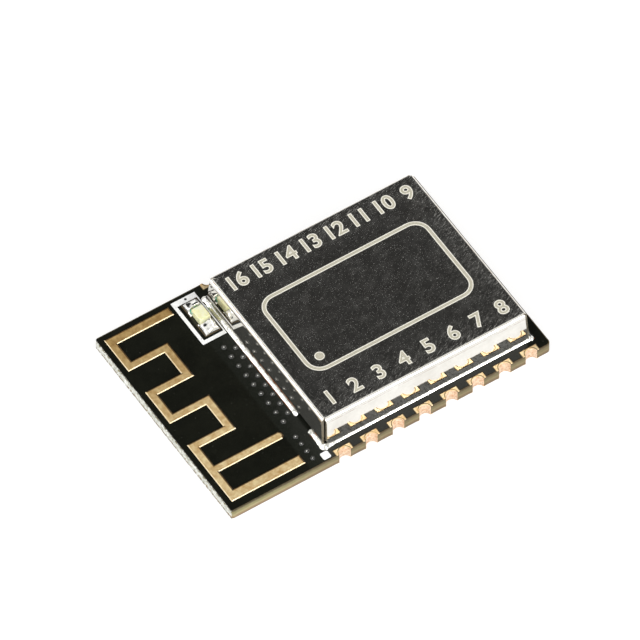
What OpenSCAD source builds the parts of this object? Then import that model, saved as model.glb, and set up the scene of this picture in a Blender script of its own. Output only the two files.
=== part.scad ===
// Castellated 2.4 GHz radio module: a black circuit board with a meander
// antenna at one end, a folded shield can over its circuit, a status LED and
// half-hole solder pads along both long edges.
// Origin at the centre of the underside, +X along the board away from the
// antenna, -Y the edge with pad 1, +Z up, all sizes in millimetres.

/* [Board] */
// Length of the board
board_l = 24; // [23:0.1:26]
// Width of the board
board_w = 16; // [15.7:0.1:17]
// Thickness of the bare laminate
laminate_t = 0.8; // [0.6:0.05:1.2]
// Radius of the two routed corners away from the antenna
corner_r = 0.3; // [0.1:0.05:0.5]

/* [Copper and mask] */
// Thickness of the plated copper of pads and antenna
foil_t = 0.05; // [0.04:0.005:0.07]
// Thickness of the copper that stays under the mask
pour_t = 0.018; // [0.012:0.002:0.022]
// Thickness of the solder mask over bare laminate
mask_t = 0.03; // [0.026:0.002:0.036]
// Distance by which the mask stops short of the board's edges
mask_pullback = 0.07; // [0.03:0.01:0.15]
// Gap between a solder land and the mask round it
mask_clear = 0.06; // [0.03:0.01:0.08]
// Gap between two pieces of copper of different nets
copper_clear = 0.25; // [0.15:0.01:0.3]
// Distance of the ground copper from the board's far end
pour_edge_gap = 0.4; // [0.3:0.05:0.8]

/* [Castellated pads] */
// Number of pads on each long side
pads_per_side = 8; // [6:1:8]
// Distance of the first pad's centre from the antenna end
pad_start = 8.5; // [8.4:0.05:8.8]
// Distance of the last pad's centre from the far end
pad_inset = 1.5; // [1.2:0.05:1.8]
// Width of a pad along the edge
pad_w = 1.2; // [1.15:0.05:1.4]
// Depth of the upper land from the edge
top_land_l = 0.45; // [0.42:0.01:0.55]
// Depth of the lower land from the edge
bottom_land_l = 1.0; // [0.8:0.05:1.4]
// Radius of the plated half hole
notch_r = 0.42; // [0.36:0.01:0.44]
// Distance of the half hole's centre outside the edge
notch_out = 0.09; // [0.05:0.01:0.12]
// Thickness of the half hole's plating
barrel_t = 0.04; // [0.025:0.005:0.05]

/* [Antenna] */
// Distance of the antenna from the board's antenna end
antenna_end_gap = 0.47; // [0.3:0.01:0.8]
// Distance of the open run from the far long edge
antenna_far_gap = 0.43; // [0.2:0.01:0.5]
// Distance of the grounded leg from the edge with pad 1
antenna_near_gap = 0.62; // [0.4:0.01:0.8]
// Width of the folded track
trace_w = 0.58; // [0.5:0.01:0.6]
// Width of the open run
open_run_w = 0.68; // [0.5:0.01:0.7]
// Width of the grounded leg
ground_leg_w = 0.76; // [0.6:0.01:0.8]
// Reach of the folds from the antenna's outer edge
fold_reach = 3.28; // [2.8:0.02:3.6]
// Chamfer at the feed leg's end
leg_chamfer = 0.16; // [0.05:0.01:0.25]
// Width of the masked feed line
feed_line_w = 0.36; // [0.3:0.01:0.5]

/* [Shield can] */
// Distance of the can from the board's antenna end
can_start = 7.65; // [7.6:0.05:8]
// Height of the can from its rim to the lid's top
can_h = 2.45; // [2.3:0.05:3]
// Thickness of the can's sheet
sheet_t = 0.2; // [0.12:0.01:0.25]
// Inner radius of the can's folds
fold_r = 0.1; // [0.05:0.01:0.2]
// Distance of the can from the board's far end
can_end_gap = 0.95; // [0.8:0.05:1.2]
// Distance of the can from the edge with pad 1
can_near_gap = 1.15; // [1.1:0.01:1.3]
// Distance of the can from the far long edge
can_far_gap = 1.31; // [1.1:0.01:1.4]
// Side of the open seam at each upright corner
corner_seam = 0.23; // [0.2:0.01:0.3]
// Width of the window over the feed line
window_w = 1.6; // [1.2:0.05:1.8]
// Height of the window over the feed line
window_h = 0.4; // [0.3:0.05:0.8]
// Width of the solder seam on the board
seam_w = 0.3; // [0.2:0.01:0.32]
// Height of the solder seam on the can
seam_h = 0.26; // [0.15:0.01:0.3]

/* [Stitching vias] */
// Width of the masked ground strip between antenna and can
strip_w = 1.7; // [1.6:0.02:1.8]
// Drilled radius of a via
via_r = 0.15; // [0.1:0.01:0.2]
// Thickness of a via's plating
via_t = 0.03; // [0.02:0.005:0.04]
// Distance of the outer row's last via from the feed line's middle
via_feed_gap = 0.775; // [0.7:0.005:0.9]
// Distance of the last via beside the grounded leg from the edge with pad 1
leg_via_edge_gap = 0.695; // [0.6:0.005:0.8]
// Distance of the outer via row from the strip's edge
via_row_gap = 0.57; // [0.4:0.01:0.6]
// Distance between the two via rows
via_row_pitch = 0.6; // [0.55:0.01:0.65]
// Vias in the outer row above the feed leg
outer_vias = 9; // [7:1:9]
// Vias in the inner row
inner_vias = 8; // [6:1:8]
// Vias beside the grounded leg
leg_vias = 4; // [3:1:4]

/* [Status LED] */
// Length of the LED
led_l = 1.6; // [1.4:0.05:1.7]
// Width of the LED
led_w = 0.8; // [0.7:0.05:0.9]
// Height of the LED's base
led_base_h = 0.22; // [0.15:0.01:0.3]
// Length of the LED's lens at its foot
led_lens_l = 1.14; // [0.9:0.02:1.2]
// Height of the LED's lens
led_lens_h = 0.33; // [0.25:0.01:0.4]
// Slope of the lens's ends
led_lens_draft = 0.06; // [0.02:0.01:0.1]
// Thickness of the LED's plated terminals
led_terminal_t = 0.03; // [0.02:0.005:0.05]
// Length of the terminals on the LED's top
led_terminal_l = 0.2; // [0.12:0.01:0.22]
// Length of an LED land
led_land_l = 1.05; // [0.9:0.01:1.06]
// Width of an LED land
led_land_w = 1.08; // [0.95:0.01:1.1]
// Gap between the two LED lands
led_land_gap = 0.74; // [0.6:0.02:0.8]
// Distance of the LED's centre from the far long edge
led_far_gap = 2.22; // [2.2:0.01:2.3]
// Distance of the LED's centre from the can's wall
led_can_gap = 1.06; // [1.04:0.01:1.1]
// Height of the solder fillets at the LED's ends
led_fillet_h = 0.2; // [0.1:0.01:0.24]

/* [Legend ink] */
// Thickness of the printed ink
ink_t = 0.02; // [0.01:0.005:0.03]
// Length of the LED's printed frame
frame_l = 3.84; // [3.8:0.02:3.9]
// Width of the LED's printed frame
frame_w = 1.78; // [1.75:0.01:1.85]
// Width of the frame's outer side bar
frame_side_w = 0.24; // [0.15:0.01:0.26]
// Width of the frame's far bar
frame_far_w = 0.42; // [0.3:0.01:0.44]
// Width of the frame's near bar
frame_near_w = 0.27; // [0.15:0.01:0.3]
// Width of the frame's thin bar beside the can
frame_thin_w = 0.08; // [0.06:0.01:0.1]
// Gap between the thin bar and the LED's bare lands
frame_clear = 0.03; // [0.02:0.01:0.04]
// Side of the pin-1 mark
pin_mark = 0.56; // [0.4:0.02:0.58]
// Gap between the pin-1 mark and the first pad
pin_mark_gap = 0.3; // [0.2:0.01:0.4]
// Gap between the pin-1 mark and the mask's edge
pin_mark_edge = 0.08; // [0.04:0.01:0.12]

/* [Radio chip] */
// Side of the radio chip's square body
soc_w = 5; // [4.6:0.1:5.2]
// Height of the radio chip
soc_h = 0.85; // [0.75:0.05:1]
// Leads on each side of the radio chip
soc_leads_per_side = 8; // [6:1:8]
// Distance between the radio chip's leads
soc_pitch = 0.5; // [0.48:0.01:0.5]
// Width of one lead
soc_lead_w = 0.24; // [0.2:0.01:0.26]
// Length of one lead
soc_lead_l = 0.4; // [0.3:0.01:0.45]
// Thickness of the lead frame
soc_frame_t = 0.2; // [0.1:0.01:0.25]
// Side of the radio chip's bare ground pad
soc_pad = 3.3; // [2.8:0.1:3.4]
// Distance of the chip's centre from the can's middle, towards pad 1
soc_near_offset = 1; // [0.8:0.05:1.2]

/* [Flash memory] */
// Length of the memory's body
flash_l = 4.9; // [4.6:0.1:5.2]
// Width of the memory's body
flash_w = 3.9; // [3.7:0.1:4.1]
// Height of the memory's body
flash_body_h = 1.45; // [1.3:0.05:1.55]
// Gap between the memory's body and the board's copper
flash_standoff = 0.15; // [0.1:0.01:0.2]
// Distance between the memory's leads
flash_pitch = 1.27; // [1.15:0.01:1.27]
// Width of one lead
flash_lead_w = 0.42; // [0.35:0.01:0.5]
// Thickness of one lead
flash_lead_t = 0.2; // [0.15:0.01:0.25]
// Reach of one lead from the body's side
flash_lead_reach = 1.05; // [0.9:0.05:1.1]
// Length of a lead's foot
flash_foot_l = 0.55; // [0.45:0.01:0.6]
// Draft of the memory's body on each side
flash_draft = 0.12; // [0.05:0.01:0.2]

/* [Crystal] */
// Length of the crystal
crystal_l = 3.2; // [3:0.1:3.3]
// Width of the crystal
crystal_w = 2.5; // [2.3:0.1:2.6]
// Height of the crystal's ceramic base
crystal_base_h = 0.45; // [0.35:0.05:0.6]
// Height of the crystal's metal lid
crystal_lid_h = 0.22; // [0.15:0.01:0.3]
// Margin of ceramic round the lid
crystal_margin = 0.14; // [0.1:0.01:0.2]
// Side of the crystal's base pads
crystal_pad = 0.85; // [0.7:0.05:0.95]

/* [Chip parts] */
// Length of a chip part
chip_l = 1.0; // [0.95:0.01:1.05]
// Width and height of a chip part
chip_w = 0.5; // [0.45:0.01:0.55]
// Length of a chip part's end caps
chip_cap_l = 0.25; // [0.18:0.01:0.3]
// Thickness of the plating of every end cap and base pad
plating_t = 0.03; // [0.02:0.005:0.04]
// Height of a chip resistor
resistor_h = 0.35; // [0.3:0.01:0.4]
// Distance between two chip parts side by side
chip_pitch = 0.95; // [0.9:0.01:1]
// Gap between a chip and the parts round it
chip_gap = 0.3; // [0.25:0.01:0.35]

/* [Hidden] */
$fn = 48;
eps = 0.2;                                    // overshoot of every cut
least_r = 0.02;                               // smallest corner that is still round

// Levels: the lands' underside is at 0
deck_z = foil_t + laminate_t;                 // top of the bare laminate
pour_z = deck_z + pour_t;                     // top of the masked copper, where parts are soldered
mask_z = deck_z + mask_t;                     // top of the mask
under_mask_z = foil_t - mask_t;               // underside of the lower mask

// Board outline and pad places
board_x0 = -board_l / 2;
board_x1 = board_l / 2;
near_y = -board_w / 2;
far_y = board_w / 2;
drill_r = notch_r + barrel_t;                 // half hole in the laminate
pad_count = 2 * pads_per_side;
pad_pitch = (board_l - pad_start - pad_inset) / (pads_per_side - 1);
function pad_x(n) = board_x1 - pad_inset
    - (n <= pads_per_side ? pads_per_side - n : n - pads_per_side - 1) * pad_pitch;
function pad_side(n) = n <= pads_per_side ? -1 : 1;
function pad_name(n) = str("pad_", n < 10 ? "0" : "", n);

// Shield can
bend_r = fold_r + sheet_t;                    // outer radius of the folds
can_x0 = board_x0 + can_start;
can_x1 = board_x1 - can_end_gap;
can_y0 = near_y + can_near_gap;
can_y1 = far_y - can_far_gap;
can_l = can_x1 - can_x0;
can_w = can_y1 - can_y0;
can_mid_y = (can_y0 + can_y1) / 2;
rim_inner = sheet_t + mask_clear;             // depth of the soldered ring inside the wall

// Antenna: seven parallel runs from the far edge to the near one
run_w = [open_run_w, trace_w, trace_w, trace_w, trace_w, trace_w, ground_leg_w];
gap_share = [1.63, 1.94, 1.76, 1.99, 1.66, 1.63];    // the gaps' widths, as parts of their sum
function total(list, i = 0) = i < len(list) ? list[i] + total(list, i + 1) : 0;
gap_unit = (board_w - antenna_far_gap - antenna_near_gap - total(run_w)) / total(gap_share);
feed_run = 5;
ground_run = 6;
function run_top(i) = i == 0 ? far_y - antenna_far_gap
    : run_top(i - 1) - run_w[i - 1] - gap_share[i - 1] * gap_unit;
function run_bottom(i) = run_top(i) - run_w[i];
spine_x = board_x0 + antenna_end_gap;
fold_x = spine_x + fold_reach;
pour_x0 = can_x0 - strip_w;                   // edge of the ground copper
feed_y = run_top(feed_run) - trace_w / 2;

// Status LED and its frame
led_x = can_x0 - led_can_gap;
led_y = far_y - led_far_gap;
frame_x1 = led_x + led_land_w / 2 + mask_clear + frame_clear + frame_thin_w;
frame_x0 = frame_x1 - frame_w;
frame_y0 = led_y - frame_l / 2;
frame_y1 = led_y + frame_l / 2;
open_end_x = frame_x0 - copper_clear;
led_z = pour_z + led_terminal_t;              // underside of the LED's base

// Stitching vias
function via_row(x, y, pitch, count) = [for (i = [0 : count - 1]) [x, y - i * pitch]];
via_x1 = pour_x0 + via_row_gap;
via_x2 = via_x1 + via_row_pitch;
via_pitch = (frame_y0 - feed_y - via_feed_gap) / outer_vias;
via_y = frame_y0 - via_pitch;
leg_via_y = feed_y - feed_line_w / 2 - copper_clear - via_r - mask_clear;
leg_via_pitch = (leg_via_y - near_y - leg_via_edge_gap) / (leg_vias - 1);
vias = concat(via_row(via_x1, via_y, via_pitch, outer_vias),
              via_row(via_x2, via_y - via_pitch / 2, via_pitch, inner_vias),
              via_row(via_x1, leg_via_y, leg_via_pitch, leg_vias));

// Places inside the can
match_x = can_x0 + rim_inner + chip_gap + chip_l / 2;
soc_x = match_x + chip_l / 2 + chip_gap + soc_w / 2;
soc_y = can_mid_y - soc_near_offset;
flash_x = soc_x + soc_w / 2 + chip_gap + flash_l / 2;
flash_y = soc_y;
crystal_x = soc_x;
crystal_y = soc_y + soc_w / 2 + chip_gap + crystal_w / 2;
flash_span = flash_w / 2 + flash_lead_reach;  // half the memory's span over its leads
flash_foot_y = flash_span - flash_foot_l / 2;
flash_parting_z = flash_standoff + flash_body_h / 2;

// Chip parts: each place is [x, y, turn]
chip_step = chip_l + chip_gap;
capacitors = concat(
    [for (i = [-1 : 1]) [soc_x + i * chip_step, soc_y - soc_w / 2 - chip_gap - chip_w / 2, 0]],
    [for (i = [-1 : 1]) [flash_x + i * chip_step, flash_y - flash_span - chip_gap - chip_w / 2, 0]],
    [for (s = [-1, 1]) [crystal_x + s * (crystal_l / 2 + chip_gap + chip_w / 2), crystal_y, 90]],
    [[match_x, feed_y + chip_pitch, 0]]);
resistors = [for (i = [0 : 3])
    [flash_x + (i - 1.5) * chip_pitch, flash_y + flash_span + chip_gap + chip_l / 2, 90]];
foot_margin = 0.2;                            // growth of a land over a lead's foot
chip_land_l = chip_cap_l + foot_margin;       // end cap and its solder
inductors = [[match_x, feed_y, 0], [match_x, feed_y + 2 * chip_pitch, 0]];
chip_places = concat(capacitors, resistors, inductors);

// Lands of the parts: each is [x, y, length along X, length along Y]
function turned(p, dx, dy, a, b) =
    p[2] == 0 ? [p[0] + dx, p[1] + dy, a, b] : [p[0] - dy, p[1] + dx, b, a];
soc_lead_x = soc_w / 2 - soc_lead_l / 2;
function soc_lead(side, i) =
    let (t = (i - (soc_leads_per_side - 1) / 2) * soc_pitch)
    side < 2 ? [(side * 2 - 1) * soc_lead_x, t, soc_lead_l, soc_lead_w]
             : [t, (side * 2 - 5) * soc_lead_x, soc_lead_w, soc_lead_l];
soc_lead_list = [for (side = [0 : 3], i = [0 : soc_leads_per_side - 1]) soc_lead(side, i)];
function flash_lead_x(i) = (i - 1.5) * flash_pitch;
land_margin = 0.04;                           // growth of a land over its terminal
mark_cut = 1.22;                              // turned square that cuts the pin mark's corners
dot_r = 0.22;                                 // moulded pin-1 dot of a chip
dot_gap = 0.6;                                // distance of that dot from the body's sides
lands = concat(
    [for (l = soc_lead_list) [soc_x + l[0], soc_y + l[1], l[2] + land_margin, l[3] + land_margin]],
    [[soc_x, soc_y, soc_pad, soc_pad]],
    [for (s = [-1, 1], i = [0 : 3])
        [flash_x + flash_lead_x(i), flash_y + s * flash_foot_y,
         flash_lead_w + foot_margin / 2, flash_foot_l + foot_margin]],
    [for (sx = [-1, 1], sy = [-1, 1])
        [crystal_x + sx * (crystal_l - crystal_pad) / 2, crystal_y + sy * (crystal_w - crystal_pad) / 2,
         crystal_pad + land_margin, crystal_pad + land_margin]],
    [for (p = chip_places, s = [-1, 1])
        turned(p, s * (chip_l - chip_cap_l) / 2, 0, chip_land_l, chip_w + land_margin)],
    [for (s = [-1, 1])
        [led_x, led_y + s * (led_land_gap + led_land_l) / 2, led_land_w, led_land_l]]);

// A rectangle given by its two corners
module area(x0, y0, x1, y1) {
    translate([x0, y0]) square([x1 - x0, y1 - y0]);
}

// The board's outline, drawn in by a margin; only the far corners are round
module outline(margin) {
    r = max(corner_r - margin, least_r);
    x1 = board_x1 - margin;
    y1 = far_y - margin;
    area(board_x0 + margin, -y1, x1 - r, y1);
    area(0, -y1 + r, x1, y1 - r);
    for (s = [-1, 1])
        translate([x1 - r, s * (y1 - r)]) circle(r);
}

// The upper or lower land of a pad, without its half hole
module land_outline(n, land_l, margin) {
    s = pad_side(n);
    translate([pad_x(n), s * (far_y - land_l / 2)])
        square([pad_w + 2 * margin, land_l + 2 * margin], center = true);
}

// Places what follows at the centre of a pad's half hole
module at_notch(n) {
    translate([pad_x(n), pad_side(n) * (far_y + notch_out), 0]) children();
}

// Rectangles of the parts' lands
module land_squares(margin) {
    for (l = lands)
        translate([l[0], l[1]]) square([l[2] + 2 * margin, l[3] + 2 * margin], center = true);
}

// The copper seen at the antenna, from the open end to the two legs
module antenna_outline() {
    area(spine_x, run_bottom(0), open_end_x, run_top(0));
    for (i = [1 : 4])
        area(spine_x, run_bottom(i), fold_x, run_top(i));
    area(spine_x, run_bottom(1), spine_x + trace_w, run_top(0));
    area(spine_x, run_bottom(3), spine_x + trace_w, run_top(2));
    area(spine_x, run_bottom(ground_run), spine_x + trace_w, run_top(4));
    area(fold_x - trace_w, run_bottom(2), fold_x, run_top(1));
    area(fold_x - trace_w, run_bottom(4), fold_x, run_top(3));
    area(spine_x, run_bottom(ground_run), pour_x0, run_top(ground_run));
    y0 = run_bottom(feed_run);
    y1 = run_top(feed_run);
    polygon([[spine_x, y0], [pour_x0 - leg_chamfer, y0], [pour_x0, y0 + leg_chamfer],
             [pour_x0, y1 - leg_chamfer], [pour_x0 - leg_chamfer, y1], [spine_x, y1]]);
}

// The ring of bare copper under the can's rim, open at the feed line
module rim_ring(outward) {
    difference() {
        area(can_x0 - outward, can_y0 - outward, can_x1 + outward, can_y1 + outward);
        area(can_x0 + rim_inner, can_y0 + rim_inner, can_x1 - rim_inner, can_y1 - rim_inner);
        area(can_x0 - 2 * outward, feed_y - window_w / 2, can_x0 + 2 * rim_inner, feed_y + window_w / 2);
    }
}

// Ground copper on the upper face: a strip beside the antenna and the ring
module pour_top_outline() {
    ring = seam_w + 2 * mask_clear;
    inside = rim_inner + 2 * mask_clear;
    difference() {
        union() {
            area(pour_x0, near_y + copper_clear, can_x0, frame_y0);
            area(can_x0 - ring, can_y0 - ring, can_x1 + ring, can_y1 + ring);
        }
        area(can_x0 + inside, can_y0 + inside, can_x1 - inside, can_y1 - inside);
        area(pour_x0 - eps, feed_y - feed_line_w / 2 - copper_clear,
             can_x0 + inside + eps, feed_y + feed_line_w / 2 + copper_clear);
        for (v = vias)
            translate(v) circle(via_r - via_t);
    }
}

// The bare laminate with its half holes and its via holes
module board_laminate() {
    color([0.62, 0.55, 0.38])
        translate([0, 0, foil_t]) difference() {
            linear_extrude(laminate_t) outline(0);
            for (n = [1 : pad_count])
                at_notch(n) translate([0, 0, -eps]) cylinder(r = drill_r, h = laminate_t + 2 * eps);
            for (v = vias)
                translate([v[0], v[1], -eps]) cylinder(r = via_r, h = laminate_t + 2 * eps);
        }
}

module ground_pour_top() {
    color([0.72, 0.45, 0.28])
        translate([0, 0, deck_z]) linear_extrude(pour_t) pour_top_outline();
}

module ground_pour_bottom() {
    side = bottom_land_l + copper_clear;
    strip_x1 = pad_x(1) - pad_w / 2 - copper_clear;
    color([0.72, 0.45, 0.28])
        translate([0, 0, foil_t - pour_t]) linear_extrude(pour_t) difference() {
            union() {
                area(pour_x0, near_y + side, board_x1 - pour_edge_gap, far_y - side);
                area(pour_x0, near_y + copper_clear, strip_x1, far_y - copper_clear);
            }
            for (v = vias)
                translate(v) circle(via_r - via_t);
        }
}

// Plated barrels of the vias, through the laminate only
module stitching_vias() {
    color([0.72, 0.45, 0.28])
        for (v = vias)
            translate([v[0], v[1], foil_t]) difference() {
                cylinder(r = via_r, h = laminate_t);
                translate([0, 0, -eps]) cylinder(r = via_r - via_t, h = laminate_t + 2 * eps);
            }
}

// Plated meander, with the thinner feed line that runs on under the mask
module antenna_trace() {
    color([0.79, 0.66, 0.43]) translate([0, 0, deck_z]) {
        linear_extrude(foil_t) antenna_outline();
        linear_extrude(pour_t)
            area(pour_x0 - leg_chamfer, feed_y - feed_line_w / 2,
                 match_x - (chip_l - chip_cap_l + chip_land_l) / 2, feed_y + feed_line_w / 2);
    }
}

module component_lands() {
    color([0.85, 0.68, 0.38])
        translate([0, 0, deck_z]) linear_extrude(pour_t) land_squares(0);
}

// Mask over the upper face: open at pads, antenna, lands and the can's rim
module solder_mask_top() {
    color([0.09, 0.09, 0.08]) difference() {
        translate([0, 0, deck_z]) linear_extrude(mask_t) difference() {
            outline(mask_pullback);
            for (n = [1 : pad_count])
                land_outline(n, top_land_l, mask_clear);
            antenna_outline();
            rim_ring(seam_w);
            land_squares(mask_clear);
        }
        translate([0, 0, deck_z - eps]) linear_extrude(pour_t + eps) pour_top_outline();
        translate([0, 0, deck_z - eps]) linear_extrude(pour_t + eps)
            area(pour_x0 - leg_chamfer, feed_y - feed_line_w / 2, match_x, feed_y + feed_line_w / 2);
    }
}

module solder_mask_bottom() {
    color([0.09, 0.09, 0.08]) difference() {
        translate([0, 0, under_mask_z]) linear_extrude(mask_t) difference() {
            outline(mask_pullback);
            for (n = [1 : pad_count])
                land_outline(n, bottom_land_l, mask_clear);
        }
        ground_pour_bottom();
    }
}

// Printed frame round the LED, and the pin-1 mark with cut corners
module legend_ink() {
    mark_x = pad_x(1) - pad_w / 2 - pin_mark_gap - pin_mark / 2;
    mark_y = near_y + mask_pullback + pin_mark_edge + pin_mark / 2;
    color([0.96, 0.96, 0.94]) translate([0, 0, mask_z]) linear_extrude(ink_t) {
        difference() {
            area(frame_x0, frame_y0, frame_x1, frame_y1);
            area(frame_x0 + frame_side_w, frame_y0 + frame_near_w,
                 frame_x1 - frame_thin_w, frame_y1 - frame_far_w);
        }
        translate([mark_x, mark_y]) intersection() {
            square(pin_mark, center = true);
            rotate(45) square(pin_mark * mark_cut, center = true);
        }
    }
}

// One castellated pad: upper land, half barrel and lower land in one plating
module castellated_pad(n) {
    color([0.93, 0.78, 0.5]) difference() {
        union() {
            translate([0, 0, deck_z]) linear_extrude(foil_t) land_outline(n, top_land_l, 0);
            linear_extrude(foil_t) land_outline(n, bottom_land_l, 0);
            at_notch(n) cylinder(r = drill_r, h = deck_z + foil_t);
        }
        at_notch(n) translate([0, 0, -eps]) cylinder(r = notch_r, h = deck_z + foil_t + 2 * eps);
        translate([pad_x(n), pad_side(n) * (far_y + drill_r), (deck_z + foil_t) / 2])
            cube([4 * drill_r, 2 * drill_r, deck_z + foil_t + 2 * eps], center = true);
    }
}

// Section of a can that is folded down on two sides, from -drop to h
module fold_section(w, h, r, drop) {
    translate([-w / 2, -drop]) square([w, h - r + drop]);
    translate([r - w / 2, -drop]) square([w - 2 * r, h + drop]);
    for (s = [-1, 1])
        translate([s * (w / 2 - r), h - r]) circle(r);
}

// A box whose lid is folded down on four sides, with mitred corners
module folded_box(l, w, h, r, drop) {
    intersection() {
        rotate([90, 0, 0]) linear_extrude(2 * w, center = true) fold_section(l, h, r, drop);
        rotate([90, 0, 90]) linear_extrude(2 * l, center = true) fold_section(w, h, r, drop);
    }
}

module shield_can() {
    color([0.78, 0.78, 0.76])
        translate([can_x0 + can_l / 2, can_y0 + can_w / 2, pour_z]) difference() {
            folded_box(can_l, can_w, can_h, bend_r, 0);
            folded_box(can_l - 2 * sheet_t, can_w - 2 * sheet_t, can_h - sheet_t, fold_r, eps);
            for (sx = [-1, 1], sy = [-1, 1])
                translate([sx * can_l / 2, sy * can_w / 2, (can_h - bend_r - eps) / 2])
                    cube([2 * corner_seam, 2 * corner_seam, can_h - bend_r + eps], center = true);
            translate([-can_l / 2, feed_y - can_y0 - can_w / 2, 0])
                cube([3 * sheet_t, window_w, 2 * window_h], center = true);
        }
}

// Hollow meniscus of solder between the board and an upright wall
module meniscus(w, h) {
    steps = 6;
    polygon(concat([[0, 0]],
        [for (i = [0 : steps]) let (a = 90 * i / steps) [w * (1 - sin(a)), h * (1 - cos(a))]]));
}

// A straight length of solder from [x, y], turned about Z
module solder_run(x, y, turn, len) {
    translate([x, y, pour_z]) rotate(turn) rotate([90, 0, 90]) linear_extrude(len) meniscus(seam_w, seam_h);
}

// A quarter turn of solder round a corner
module solder_corner(x, y, turn) {
    translate([x, y, pour_z]) rotate(turn) rotate_extrude(angle = 90) meniscus(seam_w, seam_h);
}

module shield_solder() {
    window_y0 = feed_y - window_w / 2;
    window_y1 = feed_y + window_w / 2;
    color([0.88, 0.88, 0.86]) {
        solder_run(can_x1, can_y0, 180, can_l);
        solder_corner(can_x0, can_y0, 180);
        solder_run(can_x0, can_y0, 90, window_y0 - can_y0);
        solder_run(can_x0, window_y1, 90, can_y1 - window_y1);
        solder_corner(can_x0, can_y1, 90);
        solder_run(can_x0, can_y1, 0, can_l);
        solder_corner(can_x1, can_y1, 0);
        solder_run(can_x1, can_y1, -90, can_w);
        solder_corner(can_x1, can_y0, -90);
    }
}

// LED, built about its own centre with its length along X
module at_led() {
    translate([led_x, led_y, 0]) rotate(90) children();
}

module led_base() {
    color([0.35, 0.62, 0.5]) at_led()
        translate([0, 0, led_z + led_base_h / 2])
            cube([led_l - 2 * led_terminal_t, led_w, led_base_h], center = true);
}

module led_terminals() {
    color([0.85, 0.85, 0.84]) at_led()
        for (s = [-1, 1]) difference() {
            translate([s * (led_l - led_terminal_l) / 2, 0, led_z + led_base_h / 2])
                cube([led_terminal_l, led_w, led_base_h + 2 * led_terminal_t], center = true);
            translate([0, 0, led_z + led_base_h / 2])
                cube([led_l - 2 * led_terminal_t, 2 * led_w, led_base_h], center = true);
        }
}

// Cast lens with sloped ends
module led_lens() {
    foot = led_lens_l / 2;
    top = foot - led_lens_draft;
    color([0.95, 0.94, 0.72]) at_led()
        translate([0, 0, led_z + led_base_h]) rotate([90, 0, 0]) linear_extrude(led_w, center = true)
            polygon([[-foot, 0], [foot, 0], [top, led_lens_h], [-top, led_lens_h]]);
}

module led_solder() {
    run = (led_land_gap / 2 + led_land_l) - led_l / 2;
    color([0.88, 0.88, 0.86]) at_led()
        for (turn = [0, 180]) rotate(turn)
            translate([led_l / 2, 0, pour_z]) rotate([90, 0, 0])
                linear_extrude(led_land_w, center = true) meniscus(run, led_fillet_h);
}

// Radio chip: leads and bare pad let into the moulded body's underside
module soc_metal(grow) {
    for (l = soc_lead_list)
        translate([soc_x + l[0], soc_y + l[1], pour_z + soc_frame_t / 2])
            cube([l[2], l[3], soc_frame_t + grow], center = true);
    translate([soc_x, soc_y, pour_z + soc_frame_t / 2])
        cube([soc_pad, soc_pad, soc_frame_t + grow], center = true);
}

module soc_body() {
    color([0.13, 0.13, 0.14]) difference() {
        translate([soc_x, soc_y, pour_z + plating_t + (soc_h - plating_t) / 2])
            cube([soc_w, soc_w, soc_h - plating_t], center = true);
        soc_metal(0);
        translate([soc_x - soc_w / 2 + dot_gap, soc_y + soc_w / 2 - dot_gap, pour_z + soc_h - plating_t])
            cylinder(r = dot_r, h = eps);
    }
}

module soc_lead_frame() {
    color([0.8, 0.78, 0.72]) soc_metal(0);
}

// Places the memory, which is built about its own centre with its leads along X
module at_flash() {
    translate([flash_x, flash_y, pour_z]) rotate(90) children();
}

// Serial flash: drafted body with a parting line, and eight gull-wing leads
module draft_section(half, h) {
    flat = flash_lead_t / 2;
    polygon([[-half, h / 2 - flat], [-half, h / 2 + flat], [flash_draft - half, h],
             [half - flash_draft, h], [half, h / 2 + flat], [half, h / 2 - flat],
             [half - flash_draft, 0], [flash_draft - half, 0]]);
}

module flash_body() {
    color([0.12, 0.12, 0.13])
        at_flash() translate([0, 0, flash_standoff]) difference() {
            intersection() {
                rotate([90, 0, 0]) linear_extrude(2 * flash_l, center = true)
                    draft_section(flash_w / 2, flash_body_h);
                rotate([90, 0, 90]) linear_extrude(2 * flash_w, center = true)
                    draft_section(flash_l / 2, flash_body_h);
            }
            translate([dot_gap - flash_w / 2, flash_l / 2 - dot_gap, flash_body_h - plating_t])
                cylinder(r = dot_r, h = eps);
        }
}

module flash_leads() {
    t = flash_lead_t;
    z = flash_parting_z - t / 2;
    knee = flash_lead_reach - flash_foot_l;
    color([0.8, 0.8, 0.78])
        for (s = [0, 180], i = [0 : 3])
            at_flash() rotate(s)
                translate([flash_w / 2, flash_lead_x(i), 0]) rotate([90, 0, 0])
                    linear_extrude(flash_lead_w, center = true)
                        polygon([[0, z], [0, z + t], [knee - t / 2, z + t], [knee + t, t],
                                 [flash_lead_reach, t], [flash_lead_reach, 0],
                                 [knee, 0], [knee - 1.5 * t, z]]);
}

// Crystal: ceramic base on four pads, with a metal lid
module crystal_pads() {
    color([0.85, 0.7, 0.4])
        for (sx = [-1, 1], sy = [-1, 1])
            translate([crystal_x + sx * (crystal_l - crystal_pad) / 2,
                       crystal_y + sy * (crystal_w - crystal_pad) / 2, pour_z + plating_t / 2])
                cube([crystal_pad, crystal_pad, plating_t], center = true);
}

module crystal_base() {
    color([0.3, 0.27, 0.24])
        translate([crystal_x, crystal_y, pour_z + plating_t + crystal_base_h / 2])
            cube([crystal_l, crystal_w, crystal_base_h], center = true);
}

module crystal_lid() {
    side = 2 * crystal_margin;
    color([0.8, 0.78, 0.7])
        translate([crystal_x, crystal_y, pour_z + plating_t + crystal_base_h + crystal_lid_h / 2])
            cube([crystal_l - side, crystal_w - side, crystal_lid_h], center = true);
}

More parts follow.
